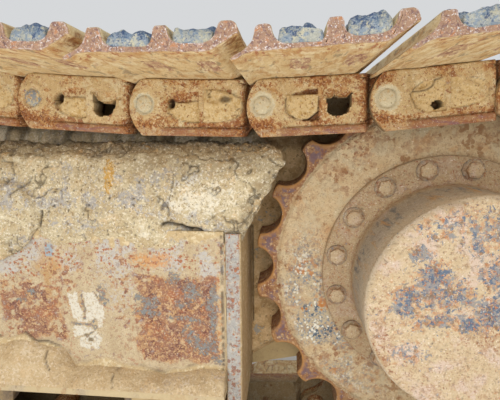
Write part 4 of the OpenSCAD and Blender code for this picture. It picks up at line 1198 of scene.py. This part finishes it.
pale = np.clip(pale, 0, 1) * (0.4 + 0.6 * ease(fractal(p, 12, 3, 105), -0.4, 0.3))
stain = blot(x + 3 * fractal(p, 9, 3, 106), z, -558, 190, 9, 12, 0.7) \
    + blot(x + 5 * fractal(p, 9, 3, 107), z, -558, 170, 8, 18, 0.6)
masks = {
    "grey": np.clip(grey, 0, 1) * (0.45 + 0.55 * ease(fractal(p, 15, 3, 103), -0.3, 0.25)) * (1 - 0.6 * gravel),
    "pale": pale * front * (1 - gravel), "stain": np.clip(stain, 0, 1) * front * 0.85,
    "gravel": np.clip(np.maximum(gravel * (0.55 + 0.9 * (pebbleNumber - 0.3)), worn), 0, 1),
    "dark": np.clip(dark, 0, 1),
}
masks = {key: np.pad(m, ((len(start), len(finish)), (0, 0)), mode="edge") for key, m in masks.items()}
putMesh("mud_cake", [tube(rings, masks)], mudMaterial, instead=["mud_on_roof"])

# A ridge of mud between the two rows of links, seen in the gap under the chain
ridge = {"left": -905.0, "right": -304.0, "half": 52.0, "foot": 228.0, "top": 258.0, "highest": 264.0,
         "step": 3.6}
r = ridge
u, v = np.meshgrid(np.arange(r["left"], r["right"] + 0.1, r["step"]), np.linspace(-1, 1, 34), indexing="ij")
p = vec(u, v * r["half"], 0)
shape = np.clip(1 - v ** 4, 0, 1) ** 0.7 * ease(u, r["left"], r["left"] + 30) * ease(r["right"] - u, 0, 30)
crest = np.interp(u, [-880, -692, -503, -313], [18, 10, 1, -1])  # higher where the chain rises
stone, lump = cells(p, 17, 7)
rough = 4 * fractal(p, 46, 3, 5) + 2.5 * fractal(p, 14, 3, 6) + 8 * (0.5 - stone) \
    + 4 * (0.5 - cells(p, 8, 9)[0])
z = np.minimum(r["foot"] + (r["top"] + crest - r["foot"] + rough) * shape, r["highest"] + crest)
y = v * r["half"] + 3 * fractal(p, 20, 2, 8)
# dark is painted shade in the gaps between the stones
masks = {"grey": 0.8 * ease(lump, 0.5, 0.7) * ease(0.85 - lump, 0, 0.1), "pale": ease(lump, 0.8, 0.9),
         "gravel": 0.45 - 0.4 * ease(lump, 0.5, 0.8), "dark": 0.6 * ease(stone, 0.5, 0.75),
         "warm": 0.5 * ease(lump, 0.3, 0.5)}
putMesh("mud_under_chain", [slab(vec(u, y, z), vec(u, y, r["foot"] - 5), masks)], mudMaterial)

print("plate")
skin = {
    "left": -1000.0, "right": -374.0, "low": -176.0, "high": 92.0, "step": 2.3, "y": -131.0, "thick": 1.2,
    "warm": [(0.9, -510, 40, 26, 13, 0.6), (0.8, -482, 44, 20, 10, 0.6), (0.8, -500, -64, 36, 7, 0.6),
             (0.9, -428, -44, 18, 16, 0.6), (0.6, -664, 30, 14, 20, 0.6)],
    # bare grey spots, as cx, cz, rx, rz
    "bare": [(-460, 12, 11, 13), (-504, -33, 20, 13), (-519, -24, 10, 7), (-508, -52, 26, 6), (-445, -34, 14, 8),
             (-430, -12, 17, 20), (-446, -58, 26, 5), (-424, -62, 14, 5), (-410, -108, 26, 14), (-424, -98, 20, 10),
             (-393, -70, 7, 56), (-392, -14, 7, 22), (-402, -34, 9, 12), (-707, -22, 13, 7), (-728, -36, 10, 5),
             (-388, -134, 12, 10), (-438, -84, 12, 12), (-586, -16, 10, 12), (-582, -34, 8, 10)],
    # the torn patch of white paint: pieces of a sheet as cx, cz, rx, rz, turn, and tears as (line, width)
    "white": [(-633, -42, 9, 25, 0.18), (-605, -44, 15, 26, 0.0), (-591, -50, 9, 16, 0.0), (-622, -62, 10, 12, 0),
              (-626, -84, 14, 4.5, -0.12), (-622, -92, 18, 6, 0.12), (-604, -100, 16, 14, -0.5),
              (-612, -112, 18, 9, -0.2), (-590, -74, 5, 8, 0.0)],
    "tears": [([(-641, -76), (-622, -77), (-606, -78), (-596, -82)], 3.2), ([(-594, -92), (-588, -98)], 2.6),
              ([(-620, -24), (-617, -46), (-619, -66)], 3.6), ([(-600, -66), (-606, -76), (-600, -88)], 2.6),
              ([(-598, -18), (-590, -32), (-586, -38)], 3.0), ([(-604, -90), (-613, -97), (-618, -103)], 2.0)],
    # the mud's upper edge at the plate's foot, as x and z
    "mudX": [-1000, -800, -764, -729, -709, -687, -666, -644, -618, -582, -560, -525, -482, -446, -405, -374],
    "mudZ": [-100, -104, -108, -96, -111, -110, -118, -150, -147, -134, -146, -150, -158, -148, -139, -142],
}
s = skin
x, z = np.meshgrid(np.linspace(s["left"], s["right"], int((s["right"] - s["left"]) / s["step"])),
                   np.linspace(s["low"], s["high"], int((s["high"] - s["low"]) / s["step"])), indexing="ij")
p = vec(x, 0, z)
fine, coarse, streaky = fractal(p, 7, 3, 1), fractal(p, 24, 4, 2), fractal(p, (16, 1, 4.5), 3, 3)
wx, wz = x + 13 * fractal(p, 26, 4, 4), z + 11 * fractal(p, 26, 4, 5)
bx, bz = x + 4 * fractal(p, 10, 2, 11), z + 4 * fractal(p, 10, 2, 12)
# Two fields of rust, then the rust at the left one's edge, between them and beyond
leftField = least(ease(wx, -772, -756), ease(-648 - wx, 0, 18), ease(wz, -112, -100), ease(14 - wz, 0, 22))
leftRust = leftField * ease(0.42 * coarse + 0.5 * fine + 0.35 * streaky + 0.3 - 0.25 * ease(z, -20, 15),
                            0, 0.22)
rightField = least(ease(wx, -532, -512), ease(-386 - wx, 0, 8), ease(wz, -146, -132), ease(22 - wz, 0, 14))
rightRust = rightField * ease(0.55 * coarse + 0.42 * fine + 0.55, 0, 0.4)
edgeRust = 0.8 * blot(wx, wz, -640, -10, 26, 60, 0.6) * ease(fine + 0.4 * coarse - 0.12, 0, 0.2)
between = 0.8 * blot(wx, wz, -540, -20, 26, 90, 0.6) * ease(fine + 0.5 * coarse - 0.18, 0, 0.2)
beyond = 0.85 * ease(-795 - x, 0, 20) * ease(coarse + 0.3 * fine - 0.05, 0, 0.25) * ease(z, -110, -90) \
    * ease(40 - z, 0, 20)
rust = np.clip(greatest(leftRust, edgeRust, rightRust, between, beyond), 0, 1)
warm = np.clip(rightField * ease(fractal(p, 30, 3, 9) + 0.2, 0, 0.4) * 0.8 + blots(wx, wz, s["warm"])
               + 0.7 * blot(x, wz, -383, -60, 5, 110, 0.5), 0, 1)
chip = ease(7.2 - np.abs(x + 671 + 1.2 * fine), 0, 1.0) * ease(11 - np.abs(z - 55 + 1.5 * fine), 0, 1.2)
ochre = np.clip(blot(x + 3 * coarse, z, -679, -14, 6 + 7 * ease(z, 0, 40), 74, 0.35)
                + blot(wx, wz, -676, 26, 18, 18, 0.5), 0, 1) * ease(0.6 + fine, 0, 0.5)
white = np.zeros_like(x)
for cx, cz, rx, rz, turn in s["white"]:
    tx = (x - cx) * np.cos(turn) + (z - cz) * np.sin(turn)
    tz = (z - cz) * np.cos(turn) - (x - cx) * np.sin(turn)
    square = np.maximum(np.abs(tx + 1.8 * fine) / rx, np.abs(tz + 1.8 * coarse) / rz)
    white = np.maximum(white, 1 - ease(square, 0.9, 1.02))
tears = greatest(*(ease(width - lineGap(x + 1.5 * fine, z + 1.5 * coarse, line), 0, 1.0)
                   for line, width in s["tears"]))
patch = white * (1 - tears) * ease(fine + 0.66, 0, 0.1)
hole = blots(x, z, [(1, -609, -104, 5, 4, 0.3), (1, -617, -96, 4, 3, 0.3)])
bare = greatest(*(blot(bx, bz, cx, cz, rx * 1.15, rz * 1.15, 0.7) for cx, cz, rx, rz in s["bare"]),
                0.9 * tears * blot(x, z, -613, -62, 34, 60, 0.2))
spots = np.clip(ease(z, -10, 25) + 0.5, 0, 1) * (1 - rightField * 0.5)
grey = ease(z + 12 * coarse, 8, 34) * 0.9 * ease(0.6 * coarse + 0.25 + 0.3 * fine, 0, 0.4) \
    + blots(wx, wz, [(0.5, -560, 0, 40, 60, 0.6), (0.6, -740, 30, 50, 24, 0.6), (0.9, -402, 26, 14, 34, 0.6)])
mudLine = np.interp(x, s["mudX"], s["mudZ"]) + 3.5 * fractal(p, 16, 3, 30)
muddy = ease(mudLine - z, 0, 3)
upper = ease(z - 78 + 9 * coarse + 5 * fine + 12 * ease(fractal(p, (10, 1, 60), 3, 37), 0, 0.5), 0, 3)
seam = ease(2.2 - np.abs(x + 377.5), 0, 1.2)
# A line sunk along the mud's upper edge, with painted shade in it
darkLine = bell(z - mudLine, 2.2) * ease(fractal(p, 40, 2, 31), -0.15, 0.25)
heap = 2.5 + 3.5 * ease(mudLine - z, 0, 30) + 2.2 * fractal(p, 20, 4, 33) + fractal(p, 6, 2, 34)
height = s["thick"] + 0.5 * coarse + 0.35 * fine * rust - 0.9 * bare + 1.1 * patch + 1.4 * chip - 1.2 * seam \
    - darkLine + muddy * heap + upper * (1.6 + 1.4 * fractal(p, 10, 3, 38))
clean, unpainted = 1 - muddy, (1 - muddy) * (1 - patch)
masks = {
    "rust": rust * unpainted * (1 - chip), "orange": warm * unpainted, "bare": np.clip(bare, 0, 1) * unpainted,
    "ochre": ochre * clean, "grey": np.clip(grey, 0, 1) * clean, "white": patch * (1 - hole), "chip": chip,
    "mud": np.maximum(muddy, upper), "spots": spots * unpainted,
    "dark": np.clip(0.8 * darkLine + 0.7 * seam * ease(fine, -0.3, 0.2) + 0.6 * hole, 0, 1),
}
parts = [backed(vec(x, s["y"] - np.maximum(height, 0.25), z), s["y"] + 1.0, masks)]
putMesh("plate_skin", parts, plateMaterial)

print("ledge")
# A bank of mud on the ledge, a quarter hump along the foot of the plate
bank = {
    "left": -1300.0, "right": -373.0, "foot": -176.5, "in": -131.5, "out": -165.5, "back": -130.4, "step": 3.0,
    "crestX": [-1300, -800, -764, -729, -700, -660, -640, -600, -560, -480, -400, -373],
    "crestZ": [-126, -114, -116, -104, -117, -122, -154, -150, -150, -160, -146, -150],
}
b = bank
t, x = np.meshgrid(np.linspace(0, 1, 34), np.arange(b["left"], b["right"] + 0.1, b["step"]))
crest = np.interp(x, b["crestX"], b["crestZ"])
y = b["in"] + (b["out"] - b["in"]) * np.sin(t * np.pi / 2) ** 1.25
z = b["foot"] + (crest - b["foot"]) * np.cos(t * np.pi / 2) ** 1.6
p = vec(x, y, z)
n = gridNormals(p, (40, 16))
height = 3.4 * fractal(p, 40, 3, 2) + 2.6 * fractal(p, 14, 4, 3) + fractal(p, 5, 2, 4)
height = np.maximum(height * np.sin(np.clip(t, 0.02, 0.98) * np.pi) ** 0.5, -5.5)
gap = np.minimum(lineGap(x + 2 * fractal(p, 9, 2, 6), z, [(-686, -118), (-684, -135), (-678, -150)]),
                 lineGap(x + 2 * fractal(p, 9, 2, 7), z, [(-560, -150), (-566, -160), (-562, -172)]))
crack = bell(gap, 1.7) * ease(fractal(p, 12, 2, 12), -0.5, 0.1)
p = p + n * (height - 2.5 * crack)[..., None]
rear = vec(x, b["back"], np.where(t > 0.5, b["foot"] - 0.6, p[..., 2]))
# dark is painted shade in the cracks
masks = {"grey": 0.6 * ease(fractal(p, 50, 3, 8), 0.15, 0.45),
         "pale": 0.7 * ease(fractal(p, 40, 3, 9), 0.1, 0.5),
         "gravel": 0.5 * ease(fractal(p, 30, 3, 10), 0.2, 0.5), "dark": 0.7 * crack, "warm": 1.0}
putMesh("mud_bank", [slab(p, rear, masks)], mudMaterial, instead=["mud_on_ledge"])

print("end plate")
# A rectangle with rounded corners, carried up the plate's height
endPlate = {"x0": -372.0, "x1": -346.0, "y": 134.0, "low": -255.0, "high": 88.0, "round": 5.0}
e = endPlate
corner = rounded([(e["x0"], 0), (e["x0"], -e["y"]), (e["x1"], -e["y"]), (e["x1"], e["y"]), (e["x0"], e["y"]),
                  (e["x0"], 0)], e["round"])
at = np.concatenate([np.linspace(0, 118, 16), np.arange(118, 260, 1.8),
                     np.linspace(260, lengths(corner)[-1], 60)])
outline = along(corner, np.unique(at)[:-1])
levels = np.concatenate([[e["low"], e["low"] + 1.5], np.arange(e["low"] + 4, e["high"] - 3, 2.4),
                         [e["high"] - 1.5, e["high"]]])
x, y, z = np.broadcast_arrays(outline[:, 0], outline[:, 1], levels[:, None])
p = vec(x, y, z)
n = gridNormals(p, (10, 32), wrapV=True)
rough = 0.7 * fractal(p, 26, 4, 1) + 0.5 * fractal(p, 6, 3, 2)
onFront = ease(-y, 128, 132) * ease(x, e["x0"] - 1, e["x0"] + 2) * ease(-346.8 - x, 0, 2)
onSide = 1 - onFront
chips = ease(fractal(p, 16, 3, 5) - 0.22, 0, 0.12)
p = p + n * (rough - 0.7 * chips * onFront - 0.6 * ease(-y, 130, 134) * ease(x, -350, -346))[..., None]
masks = {
    "strip": 0.9 * onFront, "grey": onFront, "spots": onFront, "ochre": 0.3 * onSide,
    "white": 0.2 * onFront * ease(z + 30 * fractal(p, 60, 2, 8), -150, -60)
    * ease(fractal(p, 12, 3, 9), -0.2, 0.2),
    "bare": 0.75 * onFront * ease(fractal(p, 22, 3, 10), -0.15, 0.2),
    "rust": onFront * ease(fractal(p, (8, 8, 11), 3, 11) - 0.24, 0, 0.1)
    + 0.45 * onSide * ease(fractal(p, (7, 20, 60), 3, 12), 0.05, 0.3),
    "orange": 0.85 * onFront * ease(x + 4 * fractal(p, 13, 3, 7), -352, -349)
    + 0.25 * onSide * ease(fractal(p, (6, 14, 70), 3, 14), 0.1, 0.3),
    # The side's pale mud is partly its own colour and partly painted light against its shade
    "mud": onSide * (0.45 + 0.5 * ease(fractal(p, (5, 12, 90), 3, 15), -0.2, 0.2)),
}
putMesh("end_plate", [tube(p, masks)], plateMaterial, sharp=60, instead=["frame_end_plate"])

print("mud behind the teeth")
# It fills the corner between the end plate, the roof's mud and the drive's bracket
filling = {"y": 61.5, "x0": -346.0, "x1": -120.0, "high": 262.0, "across": 74, "up": 150}
f = filling
u, v = np.meshgrid(np.linspace(0, 1, f["across"]), np.linspace(0, 1, f["up"]), indexing="ij")
zLow = np.interp(u, [0, 0.25, 0.5, 0.75, 1.0], [-232, -196, -168, -158, -150])
x, z = f["x0"] + u * (f["x1"] - f["x0"]), zLow + v * (f["high"] - zLow)
p = vec(x, 0, z)
edge = least(ease(v, 0, 0.03), ease(1 - v, 0, 0.03), ease(1 - u, 0, 0.04))
height = (9 + 3.5 * fractal(p, 60, 3, 2) + 1.8 * fractal(p, 18, 4, 3) + 0.5 * fractal(p, 5, 2, 4)) * edge + 0.4
height = np.minimum(height + 6 * ease(z, 150, 225) * edge, 20)
gap = np.minimum(lineGap(x, z, [(-344, 60), (-342.5, -20), (-344, -90), (-343, -150)]),
                 lineGap(x + 2 * fractal(p, 7, 2, 6), z, [(-322, 24), (-312, 34), (-300, 36)]))
crack = bell(gap, 1.8)
# top is painted shade under the chain and near the teeth; dark is painted shade in the cracks
masks = {"grey": 0.3 * ease(fractal(p, 40, 3, 5), 0.1, 0.4) + 0.3 * blot(x, z, -330, -170, 14, 12, 0.5),
         "top": np.clip(0.8 * ease(z, 195, 232) + 0.35 * ease(338 - np.hypot(x, z), 0, 30), 0, 1),
         "dark": 0.9 * crack}
parts = [slab(vec(x, f["y"] - (height - 2.0 * crack), z), vec(x, f["y"] + 1.0, z), masks)]
putMesh("mud_behind_teeth", parts, shadeMaterial)


# Puts a lamp or camera at a place, with its three axes
def stand(thing, across, up, back, place):
    spot = (np.array(place) + axle) / 1000
    rows = [[across[k], up[k], back[k], spot[k]] for k in range(3)]
    thing.matrix_world = Matrix(rows + [[0, 0, 0, 1]])
    bpy.context.scene.collection.objects.link(thing)


# Puts a lamp at a place, so that it shines from the side of a direction
def shine(lamp, toward, place):
    toward = toward / np.linalg.norm(toward)
    side = np.cross([0, 0, 1], toward)
    side = side / np.linalg.norm(side)
    stand(lamp, side, np.cross(toward, side), toward, place)


# The camera stands where the photo was taken, and a plain pale floor lies under the track
view = {"place": (-273.38, -731.1, 243.0), "focal": 28.1, "yaw": 5.49, "down": 9.41, "roll": -0.34}
yaw, down, roll = np.radians([view["yaw"], view["down"], view["roll"]])
ahead = np.array([-np.sin(yaw) * np.cos(down), np.cos(yaw) * np.cos(down), -np.sin(down)])
right = np.array([np.cos(yaw), np.sin(yaw), 0])
above = np.cross(right, ahead)
right, above = np.cos(roll) * right + np.sin(roll) * above, np.cos(roll) * above - np.sin(roll) * right
lens = bpy.data.cameras.new("photoCamera")
lens.lens, lens.sensor_width, lens.sensor_fit = view["focal"], 36, "HORIZONTAL"
lens.clip_start, lens.clip_end = 0.05, 60
camera = bpy.data.objects.new("photoCamera", lens)
stand(camera, right, above, -ahead, view["place"])
bpy.context.scene.camera = camera

floorFinish = bpy.data.materials.new("paleFloor")
floorFinish.use_nodes = True
tree = floorFinish.node_tree
fill(tree, tree.nodes["Principled BSDF"], {"Base Color": rgb("#D8D6D2"), "Roughness": 0.9})
floorMesh = bpy.data.meshes.new("floor")
wide, drop = 14, -0.003
floorMesh.from_pydata([(-wide, -wide, drop), (wide, -wide, drop), (wide, wide, drop), (-wide, wide, drop)], [],
                      [(0, 1, 2, 3)])
floorMesh.materials.append(floorFinish)
floor = bpy.data.objects.new("floor", floorMesh)
bpy.context.scene.collection.objects.link(floor)

world = bpy.data.worlds.new("studio")
bpy.context.scene.world = world
world.use_nodes = True
fill(world.node_tree, world.node_tree.nodes["Background"], {"Color": (0.96, 0.98, 1.0, 1), "Strength": 0.7})

sun = bpy.data.lights.new("softKey", "SUN")
sun.energy, sun.angle = 0.8, np.radians(40)
shine(bpy.data.objects.new("softKey", sun), np.array([0.05, -0.88, 0.48]), -axle)

# Light that the pale ground throws back up, and a weak one from the camera's side for the deep gaps
lamps = [("groundBounce", (-350, -900, -405), (-350, -899, 600), (3.2, 0.9), 15.0),
         ("gapFill", (-420, -900, 180), (-260, 60, 60), (0.5, 0.5), 1.3)]
for name, place, aim, size, energy in lamps:
    lamp = bpy.data.lights.new(name, "AREA")
    lamp.shape, lamp.energy = "RECTANGLE", energy
    lamp.size, lamp.size_y = size
    glow = bpy.data.objects.new(name, lamp)
    glow.visible_camera = False
    shine(glow, np.subtract(place, aim), place)
bpy.context.scene.view_settings.view_transform = "Standard"
